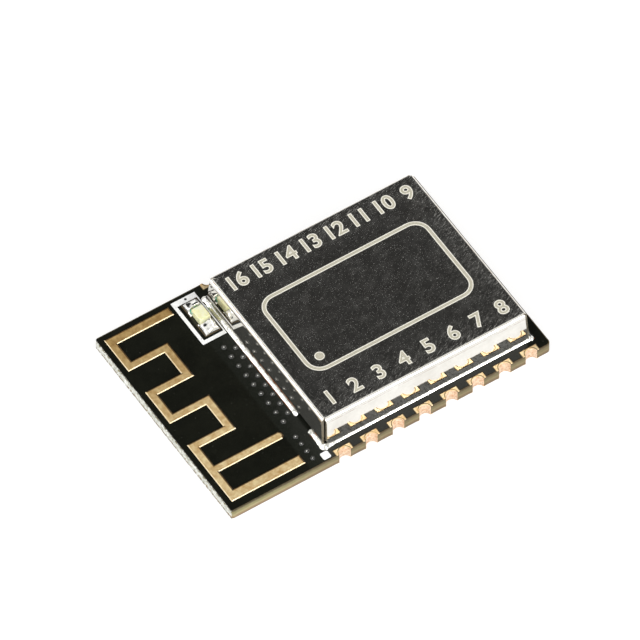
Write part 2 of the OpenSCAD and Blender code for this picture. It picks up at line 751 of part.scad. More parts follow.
// Ceramic body of a chip part, which its end caps wrap on five sides
module chip_body(h) {
    t = plating_t;
    translate([0, 0, pour_z + h / 2]) cube([chip_l - 2 * t, chip_w - 2 * t, h - 2 * t], center = true);
}

module chip_caps(h) {
    for (s = [-1, 1]) difference() {
        translate([s * (chip_l - chip_cap_l) / 2, 0, pour_z + h / 2])
            cube([chip_cap_l, chip_w, h], center = true);
        chip_body(h);
    }
}

module at_places(places) {
    for (p = places)
        translate([p[0], p[1], 0]) rotate(p[2]) children();
}

module capacitor_bodies() { color([0.72, 0.6, 0.45]) at_places(capacitors) chip_body(chip_w); }
module capacitor_caps() { color([0.82, 0.82, 0.8]) at_places(capacitors) chip_caps(chip_w); }
module resistor_bodies() { color([0.1, 0.1, 0.11]) at_places(resistors) chip_body(resistor_h); }
module resistor_caps() { color([0.82, 0.82, 0.8]) at_places(resistors) chip_caps(resistor_h); }
module inductor_bodies() { color([0.3, 0.4, 0.5]) at_places(inductors) chip_body(chip_w); }
module inductor_caps() { color([0.82, 0.82, 0.8]) at_places(inductors) chip_caps(chip_w); }

board_laminate();
ground_pour_top();
ground_pour_bottom();
stitching_vias();
antenna_trace();
component_lands();
solder_mask_top();
solder_mask_bottom();
legend_ink();
for (n = [1 : pad_count])
    castellated_pad(n);
shield_can();
shield_solder();
led_base();
led_terminals();
led_lens();
led_solder();
soc_body();
soc_lead_frame();
flash_body();
flash_leads();
crystal_base();
crystal_pads();
crystal_lid();
capacitor_bodies();
capacitor_caps();
resistor_bodies();
resistor_caps();
inductor_bodies();
inductor_caps();
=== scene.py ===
"""Castellated radio module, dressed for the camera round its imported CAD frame.

The board, its plated pads and its meander antenna keep the CAD's places; the
folded shield can, the solder, the LED and the broken board end are modelled
finer. Lengths are millimetres in the classes and metres in the meshes.
"""
import logging
import math
from contextlib import contextmanager
from dataclasses import dataclass, field, replace
from enum import Enum
from typing import Any, Iterable, Iterator, Sequence

import bmesh
import bpy
from mathutils import Matrix, Vector, noise


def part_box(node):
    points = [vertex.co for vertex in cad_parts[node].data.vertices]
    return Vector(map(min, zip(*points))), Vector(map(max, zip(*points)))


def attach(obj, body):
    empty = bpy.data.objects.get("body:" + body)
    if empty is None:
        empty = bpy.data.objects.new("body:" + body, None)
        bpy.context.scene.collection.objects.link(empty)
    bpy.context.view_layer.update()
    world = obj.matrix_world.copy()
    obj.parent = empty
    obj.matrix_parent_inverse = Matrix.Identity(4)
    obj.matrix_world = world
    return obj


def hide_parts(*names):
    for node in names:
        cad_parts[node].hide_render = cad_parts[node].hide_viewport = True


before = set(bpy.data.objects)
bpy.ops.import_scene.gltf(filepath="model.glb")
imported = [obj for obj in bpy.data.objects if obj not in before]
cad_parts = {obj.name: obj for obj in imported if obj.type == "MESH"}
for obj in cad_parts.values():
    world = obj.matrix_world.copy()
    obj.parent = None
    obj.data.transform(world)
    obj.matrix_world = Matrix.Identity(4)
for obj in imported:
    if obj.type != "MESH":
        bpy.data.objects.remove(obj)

MM = 0.001
JOIN_M = 1e-4 * MM  # points closer than this are one
ROOT = "root"
log = logging.getLogger("radio_module")

Point = tuple[float, float, float]
Face = tuple[int, ...]
Profile = tuple[tuple[float, float], ...]
Mesh = bpy.types.Mesh
Piece = bpy.types.Object
Socket = bpy.types.NodeSocket


class Slot(str, Enum):
    """The record's material slots, one named for each new piece."""

    LAMINATE = "fr4_laminate"
    ANTENNA_GOLD = "gold_plate"
    PAD_GOLD = "pad_gold"
    MASK = "black_mask"
    CAN = "can_metal"
    SOLDER = "solder"
    LED_LENS = "led_lens"
    TIN = "tin_plate"


def linear(hex_code: str) -> tuple[float, float, float, float]:
    """Turns an sRGB hex colour into linear RGBA.

    Args:
        hex_code: Six hexadecimal digits, such as "c8aa76".

    Returns:
        Linear red, green and blue, and full alpha.
    """
    levels = [int(hex_code[i:i + 2], 16) / 255 for i in (0, 2, 4)]
    return (*[c / 12.92 if c <= 0.04045 else ((c + 0.055) / 1.055) ** 2.4 for c in levels], 1.0)


class Graph:
    """A node tree of any kind, with one way to add a node to it."""

    def __init__(self, tree: bpy.types.NodeTree) -> None:
        """Takes over a tree, and empties it."""
        self.tree = tree
        tree.nodes.clear()

    def add(self, kind: str, inputs: dict[Any, Any] | Sequence[Any] = (), out: int | str = 0,
            **settings: Any) -> Socket | None:
        """Adds a node with its settings, values and links.

        Args:
            kind: The node's type name; one without "Node" is a shader node's.
            inputs: Values, or the sockets that feed them, in order or by name or number.
            out: Name or number of the output that is asked for.
            **settings: Attributes of the node itself.

        Returns:
            That output, or nothing from a node without outputs.
        """
        node = self.tree.nodes.new(kind if "Node" in kind else "ShaderNode" + kind)
        for key, value in settings.items():
            setattr(node, key, value)
        for key, value in inputs.items() if isinstance(inputs, dict) else enumerate(inputs):
            if isinstance(value, Socket):
                self.tree.links.new(value, node.inputs[key])
            else:
                node.inputs[key].default_value = value
        return node.outputs[out] if len(node.outputs) else None


# ---------------------------------------------------------------- finishes


@dataclass(frozen=True)
class Patches:
    """Soft-edged patches of noise, such as dust, smears or worn spots.

    Attributes:
        size_mm: Size of a patch.
        start: Level of the noise where a patch begins.
        full: Level where it is full.
        inside: Weight inside a full patch.
        outside: Weight outside the patches.
        detail: Number of finer layers.
        rough: Weight of each finer layer against the one before.
        twist: How far the patches are drawn out of shape.
    """

    size_mm: float
    start: float
    full: float
    inside: float = 1.0
    outside: float = 0.0
    detail: float = 2.0
    rough: float = 0.5
    twist: float = 0.0

    def weigh(self, graph: Graph, place: Socket) -> Socket:
        """Draws the patches.

        Args:
            graph: The material's tree.
            place: Coordinates, in metres.

        Returns:
            The patches' weight.
        """
        level = graph.add("TexNoise", {
            "Vector": place, "Scale": 1 / (self.size_mm * MM), "Detail": self.detail,
            "Roughness": self.rough, "Distortion": self.twist})
        return graph.add("MapRange", (level, self.start, self.full, self.outside, self.inside))


@dataclass(frozen=True)
class Finish:
    """A real material: two tones in patches, uneven gloss and a fine relief.

    Attributes:
        name: The material's common name and how its surface was made.
        tones: Darker and lighter colour, as sRGB hex.
        patch_mm: Size of the patches of tone.
        gloss: Lowest and highest roughness.
        grain_mm: Size of the relief's grain.
        relief_um: Height of the relief, in micrometres.
        metallic: 1 for a metal, 0 for anything else.
        ior: Index of refraction of what isn't a metal.
        coat: Weight of a clear glossy layer on top.
        stretch: How much longer than wide the grain is, along X.
        octaves: How many finer patches each patch of tone is made of.
    """

    name: str
    tones: tuple[str, str]
    patch_mm: float
    gloss: tuple[float, float]
    grain_mm: float
    relief_um: float
    metallic: float = 0.0
    ior: float = 1.5
    coat: float = 0.0
    stretch: float = 1.0
    octaves: float = 4.0

    def colour(self, graph: Graph, place: Socket) -> Socket:
        """Mixes the two tones in soft patches.

        Args:
            graph: The material's tree.
            place: Object coordinates, in metres.

        Returns:
            The colour's socket.
        """
        patches = Patches(self.patch_mm, 0.35, 0.65, detail=self.octaves, rough=0.65)
        share = patches.weigh(graph, place)
        dark, light = (linear(tone) for tone in self.tones)
        return graph.add("Mix", {0: share, 6: dark, 7: light}, 2, data_type="RGBA")

    def material(self) -> bpy.types.Material:
        """Builds the finish's material the first time that it is asked for.

        Returns:
            The material.
        """
        known = bpy.data.materials.get(self.name)
        if known:
            return known
        made = bpy.data.materials.new(self.name)
        made.use_nodes = True
        graph = Graph(made.node_tree)
        place = graph.add("TexCoord", out="Object")
        drawn = graph.add("Mapping", {"Vector": place, "Scale": (1 / self.stretch, 1.0, 1.0)})
        grain = graph.add("TexNoise", {
            "Vector": drawn, "Scale": 1 / (self.grain_mm * MM), "Detail": 3.0, "Roughness": 0.6})
        relief = graph.add("Bump", {
            "Height": grain, "Distance": self.relief_um * MM * MM, "Strength": 1.0})
        surface = graph.add("BsdfPrincipled", {
            "Base Color": self.colour(graph, place),
            "Roughness": graph.add("MapRange", (grain, 0.35, 0.65, *self.gloss)),
            "Metallic": self.metallic, "IOR": self.ior, "Normal": relief,
            "Coat Weight": self.coat, "Coat Roughness": 0.05})
        self.extra(graph, place, surface.node)
        graph.add("OutputMaterial", {"Surface": surface})
        return made

    def extra(self, graph: Graph, place: Socket, surface: bpy.types.Node) -> None:
        """Adds nothing on a plain finish; others add their own detail here."""


@dataclass(frozen=True)
class MaskFinish(Finish):
    """Liquid solder mask: near black, a shade lighter where copper lies under it.

    Attributes:
        over_copper: Colour over the ground copper, as sRGB hex.
        copper_mm: X where the ground copper starts, and where the can covers it.
        soft_mm: How softly the lighter strip starts to each side, and how softly it ends.
        dust: Pale specks of dust.
        dust_tone: Their colour, as sRGB hex.
    """

    over_copper: str = "1d1f1a"
    copper_mm: tuple[float, float] = (-6.05, -3.5)
    soft_mm: tuple[float, float] = (0.06, 0.3)
    dust: Patches = Patches(0.09, 0.78, 0.84, 0.5, detail=1.0, rough=0.3)
    dust_tone: str = "8a8880"

    def colour(self, graph: Graph, place: Socket) -> Socket:
        """Mixes in the copper strip's tone and the dust.

        Args:
            graph: The material's tree.
            place: Object coordinates, in metres.

        Returns:
            The colour's socket.
        """
        (start, end), (rise, fall) = self.copper_mm, self.soft_mm
        along = graph.add("SeparateXYZ", (place,))
        begun = graph.add("MapRange", (along, (start - rise) * MM, (start + rise) * MM))
        left = graph.add("MapRange", (along, end * MM, (end + fall) * MM, 1.0, 0.0))
        strip = graph.add("Math", (begun, left), operation="MULTIPLY")
        striped = graph.add("Mix", {
            0: strip, 6: super().colour(graph, place), 7: linear(self.over_copper)},
            2, data_type="RGBA")
        return graph.add("Mix", {
            0: self.dust.weigh(graph, place), 6: striped, 7: linear(self.dust_tone)},
            2, data_type="RGBA")


@dataclass(frozen=True)
class LaminateFinish(Finish):
    """Glass-epoxy edge: plies of glass cloth show as bands along the cut, darker at its top and
    bottom, with painted shade beside the pads.

    Attributes:
        bands: Where each band starts, as a share of the laminate's thickness, and its
            colour as sRGB hex.
        low_mm: Height of the laminate's underside.
        thick_mm: Its thickness.
        wave_mm: How much a band wanders up and down.
        wander_mm: Over what length it does.
        depth: How much the bands cover the tones.
        shade: Colour of the painted shade beside the pads, as sRGB hex.
        shade_mm: X where the painted shade starts, and where it is darkest.
        shade_depth: How dark the painted shade gets.
    """

    bands: tuple[tuple[float, str], ...] = (
        (0.0, "6b4f40"), (0.12, "967a5e"), (0.32, "a8966e"), (0.45, "c2b58c"), (0.52, "9c9468"),
        (0.78, "8a8459"), (0.9, "4a3c24"), (1.0, "35291a"))
    low_mm: float = 0.05
    thick_mm: float = 0.8
    wave_mm: float = 0.07
    wander_mm: float = 0.7
    depth: float = 0.75
    shade: str = "5c4a30"
    shade_mm: tuple[float, float] = (-9.0, -3.4)
    shade_depth: float = 0.55

    def colour(self, graph: Graph, place: Socket) -> Socket:
        """Stacks the bands over the tones, and darkens them beside the pads with painted shade.

        Args:
            graph: The material's tree.
            place: Object coordinates, in metres.

        Returns:
            The colour's socket.
        """
        axes = graph.add("SeparateXYZ", (place,)).node.outputs
        wobble = graph.add("TexNoise", {
            "Vector": place, "Scale": 1 / (self.wander_mm * MM), "Detail": 4.0, "Roughness": 0.65})
        shift = graph.add("Math", (wobble, self.wave_mm * 2 * MM, axes[2]),
                          operation="MULTIPLY_ADD")
        low = self.low_mm + self.wave_mm
        share = graph.add("MapRange", (shift, low * MM, (low + self.thick_mm) * MM))
        ramp = graph.add("ValToRGB", (share,))
        stops = ramp.node.color_ramp.elements
        while len(stops) < len(self.bands):
            stops.new(1.0)
        for stop, (start, tone) in zip(stops, self.bands):
            stop.position, stop.color = start, linear(tone)
        plied = graph.add("Mix", {0: self.depth, 6: super().colour(graph, place), 7: ramp},
                          2, data_type="RGBA")
        # Painted shade: the cut grows darker from the free end towards the pads.
        painted_shade_near_pads = graph.add("MapRange", (
            axes[0], self.shade_mm[0] * MM, self.shade_mm[1] * MM, 0.0, self.shade_depth))
        return graph.add("Mix", {0: painted_shade_near_pads, 6: plied, 7: linear(self.shade)},
                         2, data_type="RGBA")


@dataclass(frozen=True)
class PadFinish(Finish):
    """Gold on the edge pads, with painted shade in a brown ring round each half hole's mouth.

    Attributes:
        pitch_mm: Distance between two pads.
        first_mm: X of a pad's middle.
        edge_mm: Y of the board's edge, where the holes' axes stand.
        ring_mm: Radius of the painted shade ring's middle.
        ring_w_mm: Its width.
        rubbed: Colour of the painted shade, as sRGB hex.
        wear: How strongly the painted shade shows, in patches.
    """

    pitch_mm: float = 2.0
    first_mm: float = -3.5
    edge_mm: float = 8.0
    ring_mm: float = 0.45
    ring_w_mm: float = 0.06
    rubbed: str = "64401e"
    wear: Patches = Patches(0.25, 0.35, 0.5, 0.9, 0.35)

    def colour(self, graph: Graph, place: Socket) -> Socket:
        """Draws the painted shade ring round each half hole's mouth.

        Args:
            graph: The material's tree.
            place: Object coordinates, in metres.

        Returns:
            The colour's socket.
        """
        axes = graph.add("SeparateXYZ", (place,)).node.outputs
        half = self.pitch_mm / 2 * MM
        along = graph.add("Math", (axes[0], self.first_mm * MM), operation="SUBTRACT")
        across = graph.add("Math", (along, half, -half), operation="WRAP")
        side = graph.add("Math", (axes[1],), operation="ABSOLUTE")
        inward = graph.add("Math", (side, self.edge_mm * MM), operation="SUBTRACT")
        flat = graph.add("CombineXYZ", (across, inward))
        away = graph.add("VectorMath", (flat,), "Value", operation="LENGTH")
        # Painted shade: a brown ring where the land meets the hole's wall.
        ring = graph.add("Math", (away, self.ring_mm * MM, self.ring_w_mm / 2 * MM),
                         operation="COMPARE")
        rubbed = graph.add("Math", (ring, self.wear.weigh(graph, place)), operation="MULTIPLY")
        return graph.add("Mix", {
            0: rubbed, 6: super().colour(graph, place), 7: linear(self.rubbed)},
            2, data_type="RGBA")


@dataclass(frozen=True)
class SheetFinish(Finish):
    """Bright tinned sheet: worn edges, dull specks, smears and strained folds.

    Attributes:
        lid_mm: Height of the lid's upper face.
        lid_soft_mm: Depths below it where the film fades out and where it is full.
        wall_film: How much of the film the walls have.
        fold_mm: Radius of the folds.
        strains: Where the sheet was strained, as shares of the fold's radius from the top.
        strain_mm: Half the height of a strained line.
        strained: Its colour, as sRGB hex.
        breaks: Where the line shows.
        rubbed_x_mm: X of the lid's ends, where it is worn dull.
        rubbed_y_mm: Y of the lid's sides.
        rubbed_mm: Width of the rubbed border.
        rub: How much more the border is worn than the middle, and how much the middle is.
        streak_deg: Direction of the streaks from X.
        slim: Width of a streak as a share of its length.
        streaks: The rubbing streaks.
        specks: The dull specks.
        smears: The smears.
        film_depth: How far a full dull film hides the bare metal.
        film_rough: Roughness that it adds.
    """

    lid_mm: float = 3.314
    lid_soft_mm: tuple[float, float] = (0.05, 0.02)
    wall_film: float = 0.04
    fold_mm: float = 0.36
    strains: tuple[float, ...] = (0.2, 0.92)
    strain_mm: float = 0.022
    strained: str = "a3896f"
    breaks: Patches = Patches(0.4, 0.38, 0.6, 0.65, detail=3.0, rough=0.7)
    rubbed_x_mm: tuple[float, float] = (-9.05, 11.05)
    rubbed_y_mm: tuple[float, float] = (-6.85, 6.69)
    rubbed_mm: float = 2.4
    rub: tuple[float, float] = (0.9, 0.25)
    streak_deg: float = 26.0
    slim: float = 0.12
    streaks: Patches = Patches(0.045, 0.5, 0.72, rough=0.6)
    specks: Patches = Patches(0.06, 0.62, 0.78, 1.8, rough=0.6)
    smears: Patches = Patches(1.1, 0.5, 0.75, 0.3, detail=8.0, rough=0.85, twist=0.3)
    film_depth: float = 0.2
    film_rough: float = 0.3

    def colour(self, graph: Graph, place: Socket) -> Socket:
        """Draws the broken lines where the sheet was strained over the fold.

        Args:
            graph: The material's tree.
            place: Object coordinates, in metres.

        Returns:
            The colour's socket.
        """
        tone = super().colour(graph, place)
        up = graph.add("SeparateXYZ", (place,), 2)
        depth = self.breaks.weigh(graph, place)
        for share in self.strains:
            line_mm = self.lid_mm - self.fold_mm * share
            off = graph.add("Math", (up, line_mm * MM, self.strain_mm * MM), operation="COMPARE")
            line = graph.add("Math", (off, depth), operation="MULTIPLY")
            tone = graph.add("Mix", {0: line, 6: tone, 7: linear(self.strained)},
                             2, data_type="RGBA")
        return tone

    def border(self, graph: Graph, along: Socket, ends_mm: tuple[float, float]) -> Socket:
        """Rises from 0 inside the lid to 1 at its two ends.

        Args:
            graph: The material's tree.
            along: The coordinate across the border.
            ends_mm: Where the lid ends on both sides.

        Returns:
            The border's weight.
        """
        middle, half = (ends_mm[0] + ends_mm[1]) / 2, (ends_mm[1] - ends_mm[0]) / 2
        off = graph.add("Math", (along, middle * MM), operation="SUBTRACT")
        away = graph.add("Math", (off,), operation="ABSOLUTE")
        return graph.add("MapRange", (away, (half - self.rubbed_mm) * MM, half * MM))

    def extra(self, graph: Graph, place: Socket, surface: bpy.types.Node) -> None:
        """Makes specks, smears and the worn border duller than the sheet round them.

        Args:
            graph: The material's tree.
            place: Object coordinates, in metres.
            surface: The material's shader.
        """
        axes = graph.add("SeparateXYZ", (place,)).node.outputs
        border = graph.add("Math", (
            self.border(graph, axes[0], self.rubbed_x_mm),
            self.border(graph, axes[1], self.rubbed_y_mm)), operation="MAXIMUM")
        rub = graph.add("Math", (border, *self.rub), operation="MULTIPLY_ADD")
        turned = graph.add("VectorRotate", {
            "Vector": place, "Angle": math.radians(-self.streak_deg)}, rotation_type="Z_AXIS")
        drawn = graph.add("Mapping", {"Vector": turned, "Scale": (self.slim, 1.0, 1.0)})
        film = graph.add("Math", (self.streaks.weigh(graph, drawn), rub), operation="MULTIPLY")
        for patches in (self.specks, self.smears):
            film = graph.add("Math", (film, patches.weigh(graph, place)),
                             operation="ADD", use_clamp=True)
        fade, full = ((self.lid_mm - depth) * MM for depth in self.lid_soft_mm)
        on_lid = graph.add("MapRange", (axes[2], fade, full, self.wall_film))
        film = graph.add("Math", (film, on_lid), operation="MULTIPLY")
        clean = surface.inputs["Roughness"].links[0].from_socket
        rough = graph.add("Math", (film, self.film_rough, clean),
                          operation="MULTIPLY_ADD", use_clamp=True)
        bare = graph.add("Math", (film, -self.film_depth, 1.0), operation="MULTIPLY_ADD")
        graph.tree.links.new(rough, surface.inputs["Roughness"])
        graph.tree.links.new(bare, surface.inputs["Metallic"])


@dataclass(frozen=True)
class InkFinish(Finish):
    """Printed white ink: pinholes let the mask show through.

    Attributes:
        hole_mm: Place of the one large pinhole.
        hole_r_mm: Its radius.
        hole_soft_mm: How softly its rim starts.
        pinholes: The small pinholes.
        bare: Colour in a pinhole, as sRGB hex.
    """

    hole_mm: Point = (-5.48, 7.51, 0.9)
    hole_r_mm: float = 0.08
    hole_soft_mm: float = 0.015
    pinholes: Patches = Patches(0.12, 0.70, 0.76, 0.8)
    bare: str = "2a2a28"

    def colour(self, graph: Graph, place: Socket) -> Socket:
        """Darkens the ink at its pinholes.

        Args:
            graph: The material's tree.
            place: Object coordinates, in metres.

        Returns:
            The colour's socket.
        """
        centre = tuple(c * MM for c in self.hole_mm)
        away = graph.add("VectorMath", (place, centre), "Value", operation="DISTANCE")
        large = graph.add("MapRange", (
            away, (self.hole_r_mm + self.hole_soft_mm) * MM, self.hole_r_mm * MM))
        holes = graph.add("Math", (self.pinholes.weigh(graph, place), large), operation="MAXIMUM")
        return graph.add("Mix", {0: holes, 6: super().colour(graph, place), 7: linear(self.bare)},
                         2, data_type="RGBA")


@dataclass(frozen=True)
class TwoPartFinish(Finish):
    """A finish whose tones turn into a second pair along Y.

    Attributes:
        far_tones: The two tones at the far end, as sRGB hex.
        from_mm: Y where they start.
        over_mm: How far the one pair runs into the other.
    """

    far_tones: tuple[str, str] = ("808080", "909090")
    from_mm: float = 0.0
    over_mm: float = 1.0

    def colour(self, graph: Graph, place: Socket) -> Socket:
        """Mixes the two pairs along Y.

        Args:
            graph: The material's tree.
            place: Object coordinates, in metres.

        Returns:
            The colour's socket.
        """
        near = super().colour(graph, place)
        far = Finish.colour(replace(self, tones=self.far_tones), graph, place)
        along = graph.add("SeparateXYZ", (place,), 1)
        share = graph.add("MapRange", (
            along, self.from_mm * MM, (self.from_mm + self.over_mm) * MM))
        return graph.add("Mix", {0: share, 6: near, 7: far}, 2, data_type="RGBA")


@dataclass(frozen=True)
class ResinFinish(Finish):
    """Clear cast resin over a phosphor: light goes in and comes out softened.

    Attributes:
        depth_mm: How far light travels inside.
        share: How much of it does.
        reach: How far red, green and blue get, as shares of that depth.
    """

    depth_mm: float = 0.15
    share: float = 0.5
    reach: Point = (1.0, 0.9, 0.5)

    def extra(self, graph: Graph, place: Socket, surface: bpy.types.Node) -> None:
        """Lets light scatter below the resin's surface.

        Args:
            graph: The material's tree; not used.
            place: Object coordinates, in metres; not used.
            surface: The material's shader.
        """
        surface.inputs["Subsurface Weight"].default_value = self.share
        surface.inputs["Subsurface Scale"].default_value = self.depth_mm * MM
        surface.inputs["Subsurface Radius"].default_value = self.reach


# Black liquid solder mask, cured semi-gloss: deep black with a soft sheen
SOLDER_MASK = MaskFinish("black_solder_mask_cured", ("12130e", "191a14"), 1.6, (0.14, 0.26),
                         0.16, 1.2)
# The same mask drawn thin over a plated hole: wetter and glossier
DOMED_MASK = Finish("black_solder_mask_domed", ("12130e", "1a1b16"), 0.1, (0.03, 0.07), 0.1, 0.2,
                    ior=1.7, coat=1.0)
# Glass-epoxy laminate, routed: olive brown with paler cut plies, and painted shade towards the pads
LAMINATE = LaminateFinish("glass_epoxy_routed", ("6f6642", "a09470"), 0.3, (0.5, 0.8), 0.05, 9)
# The same laminate snapped off a scored panel: whitened resin and broken fibre
BROKEN_LAMINATE = Finish("glass_epoxy_snapped", ("b2b4a8", "f4f4ee"), 0.35, (0.5, 0.8), 0.06, 10,
                         octaves=6.0)
# Immersion gold on matt copper: tan, fine-grained, hardly shiny, with painted shade that makes it
# browner towards the far end
ANTENNA_GOLD = TwoPartFinish("immersion_gold_matt", ("c8a26a", "f0daa8"), 0.4, (0.34, 0.48),
                             0.06, 3, 0.25, octaves=7.0, far_tones=("9c7a48", "c9a970"),
                             from_mm=-1.5, over_mm=8.5)
# Painted highlight: the same gold made paler on the plating's slopes that face -X and -Y
EDGE_HIGHLIGHT_GOLD = Finish("immersion_gold_edge", ("e4ca9a", "fbeccb"), 0.3, (0.35, 0.45), 0.06, 2, 0.2)
# Painted shade on the antenna's slopes that face +X or +Y, and on a thin band beside them: dark
# brown
FAR_EDGE_SHADE = Finish("solder_mask_thin_on_copper", ("33240f", "664a26"), 0.08, (0.3, 0.5), 0.05, 2)
# Immersion gold on the pads' lands: peach-gold and satin, with a painted shade ring round each half
# hole
PAD_GOLD = PadFinish("immersion_gold_satin", ("ecc287", "ffecc0"), 0.25, (0.24, 0.4), 0.09, 5, 0.35)
# The same gold on the components' lands: browner and more mirror-like
LAND_GOLD = Finish("immersion_gold_lands", ("c49a60", "e0ba80"), 0.35, (0.24, 0.4), 0.07, 5, 0.6)
# The same gold on a drilled hole's wall: pinker, with the drill's marks, and paler as a painted
# reflection of the white table
BARREL_GOLD_PAINTED_REFLECTION = Finish("immersion_gold_drilled", ("d6a57c", "f6e2c8"), 0.2, (0.25, 0.4), 0.09, 8,
                     0.35)
# Copper plating under the mask and in the vias: a warm satin orange
COPPER = Finish("copper_plated", ("a5613c", "c98058"), 0.2, (0.3, 0.45), 0.05, 2, 1.0)
# White epoxy ink, screen-printed: chalky, with small pinholes
INK = InkFinish("epoxy_ink_printed", ("f4f4f2", "ffffff"), 0.2, (0.5, 0.65), 0.04, 3)
# Bright tinned steel sheet, rolled and folded: a dark mirror with a fine grain
TINNED_SHEET = SheetFinish("tinned_steel_rolled", ("e2dfd8", "f2f0ea"), 2.2, (0.03, 0.07),
                           0.07, 0.25, 1.0, stretch=2.5)
# The sheet's sheared ends, where the tin doesn't reach: dull grey-brown
SHEARED_END = Finish("steel_sheared_bare", ("6e685a", "a09886"), 0.1, (0.3, 0.45), 0.05, 3, 0.8)
# Marks burnt into the tin by laser: matt cream with a paler rim
ETCHED = Finish("tin_laser_etched", ("b0ab98", "c8c3b2"), 0.1, (0.55, 0.75), 0.04, 4)
ETCHED_RIM = Finish("tin_laser_etched_rim", ("ece8da", "fbf8ee"), 0.1, (0.4, 0.6), 0.04, 4)
# Tin-silver solder, reflowed: bright, slightly frosted by its grains
SOLDER = Finish("tin_solder_reflowed", ("e6e5e0", "fbfaf6"), 0.12, (0.08, 0.18), 0.12, 2, 1.0)
# The same solder laid by hand along the rim: grainy, with greyer patches
SEAM_SOLDER = Finish("tin_solder_hand_laid", ("c8c7bf", "fffefa"), 0.3, (0.06, 0.16), 0.14, 3.4,
                     1.0)
# The LED's phosphor in clear cast resin: pale yellow, lit from inside
LED_RESIN = ResinFinish("epoxy_resin_phosphor", ("f6f2bc", "fffde0"), 0.25, (0.15, 0.25), 0.1, 1,
                        ior=1.53)
# The LED's moulded base: cream under the lens, bare green resin at the far end
LED_SUBSTRATE = TwoPartFinish("bt_resin_green", ("dcdaac", "ecebc0"), 0.15, (0.4, 0.55), 0.05, 2,
                              far_tones=("52a886", "8ccfae"), from_mm=6.1, over_mm=0.12)
# Matt electroplated tin on leads and end caps
MATT_TIN = Finish("tin_plated_matt", ("bcbbb6", "d8d7d2"), 0.1, (0.3, 0.42), 0.03, 1.5, 1.0)
# Black epoxy moulding compound, with the mould's spark-eroded grain
MOULD_COMPOUND = Finish("epoxy_mould_compound", ("17171a", "222225"), 0.2, (0.5, 0.65), 0.04, 5)
# Fired ceramics: the crystal's dark brown, the capacitors' tan, the inductors' blue-grey
ALUMINA_DARK = Finish("alumina_fired_dark", ("3b332b", "4a4138"), 0.2, (0.5, 0.6), 0.03, 2)
TITANATE = Finish("titanate_fired_tan", ("a98a63", "c2a47c"), 0.15, (0.4, 0.55), 0.03, 1.5)
FERRITE = Finish("glass_ceramic_blue_grey", ("4a5a70", "5f7088"), 0.15, (0.35, 0.5), 0.03, 1.5)
# Kovar lid and gold-flashed pads of the crystal: pale brassy satin
KOVAR = Finish("kovar_plated", ("c0b084", "dccfa6"), 0.4, (0.25, 0.35), 0.04, 1, 1.0)


# ---------------------------------------------------------------- pieces


def extent(node: str) -> tuple[Vector, Vector]:
    """Gives a CAD node's lowest and highest corner in millimetres."""
    low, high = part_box(node)
    return Vector(low) / MM, Vector(high) / MM


def pad_nodes() -> list[str]:
    """Lists the CAD's edge pads in the order of their numbers."""
    return sorted(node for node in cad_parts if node.startswith("pad_"))


def feed_y() -> float:
    """Finds the antenna's feed line where it runs under the can.

    Returns:
        Its Y, in millimetres.
    """
    start = extent("shield_can")[0].x * MM
    ends = [v.co.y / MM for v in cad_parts["antenna_trace"].data.vertices if v.co.x > start]
    return sum(ends) / len(ends)


@contextmanager
def edited(mesh: Mesh) -> Iterator[bmesh.types.BMesh]:
    """Opens a mesh for editing, and writes it back at the end.

    Args:
        mesh: The mesh.

    Yields:
        Its editable form.
    """
    shape = bmesh.new()
    shape.from_mesh(mesh)
    yield shape
    shape.to_mesh(mesh)
    shape.free()


def turn_out(mesh: Mesh, smooth: bool = True) -> None:
    """Joins a closed mesh's doubles and turns its faces outwards.

    Args:
        mesh: The mesh.
        smooth: Whether its faces are shaded smooth.
    """
    with edited(mesh) as shape:
        bmesh.ops.remove_doubles(shape, verts=shape.verts, dist=JOIN_M)
        bmesh.ops.recalc_face_normals(shape, faces=shape.faces)
        for face in shape.faces:
            face.smooth = smooth


def mesh_of(name: str, points: Iterable[Sequence[float]], faces: Iterable[Sequence[int]],
            smooth: bool = True) -> Mesh:
    """Makes a mesh from points in millimetres.

    Args:
        name: The mesh's name.
        points: Corner points, in millimetres.
        faces: Corner numbers of each face.
        smooth: Whether its faces are shaded smooth.

    Returns:
        The mesh, in metres, with its faces turned outwards.
    """
    mesh = bpy.data.meshes.new(name)
    mesh.from_pydata([Vector(p) * MM for p in points], [], [list(f) for f in faces])
    turn_out(mesh, smooth)
    return mesh


def quads(rows: int, columns: int, start: int = 0, is_ring: bool = False) -> list[Face]:
    """Lists the faces between rows of points.

    Args:
        rows: Number of rows.
        columns: Number of points in each.
        start: Number of the first point.
        is_ring: Whether a row's last point joins its first.

    Returns:
        The faces' corner numbers.
    """
    faces = []
    for row in range(rows - 1):
        first = start + row * columns
        for k in range(columns if is_ring else columns - 1):
            after = (k + 1) % columns
            faces.append((first + k, first + after, first + after + columns, first + k + columns))
    return faces


def place_piece(name: str, mesh: Mesh, *finishes: Finish) -> Piece:
    """Puts a mesh, already in place and in metres, into the scene at the origin.

    Args:
        name: The piece's name.
        mesh: Its mesh.
        *finishes: Finishes that the mesh takes, the first of them all over.

    Returns:
        The piece.
    """
    for finish in finishes:
        mesh.materials.append(finish.material())
    piece = bpy.data.objects.new(name, mesh)
    bpy.context.scene.collection.objects.link(piece)
    return piece


def settle(piece: Piece, slot: Slot, *nodes: str) -> None:
    """Lets a finished piece ride on the body, and hides the CAD nodes that it replaces.

    Args:
        piece: The finished piece.
        slot: The record's slot that it stands for; not used.
        *nodes: CAD nodes that it replaces.
    """
    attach(piece, ROOT)
    if nodes:
        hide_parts(*nodes)
    log.info("%s: %d faces", piece.name, len(piece.data.polygons))


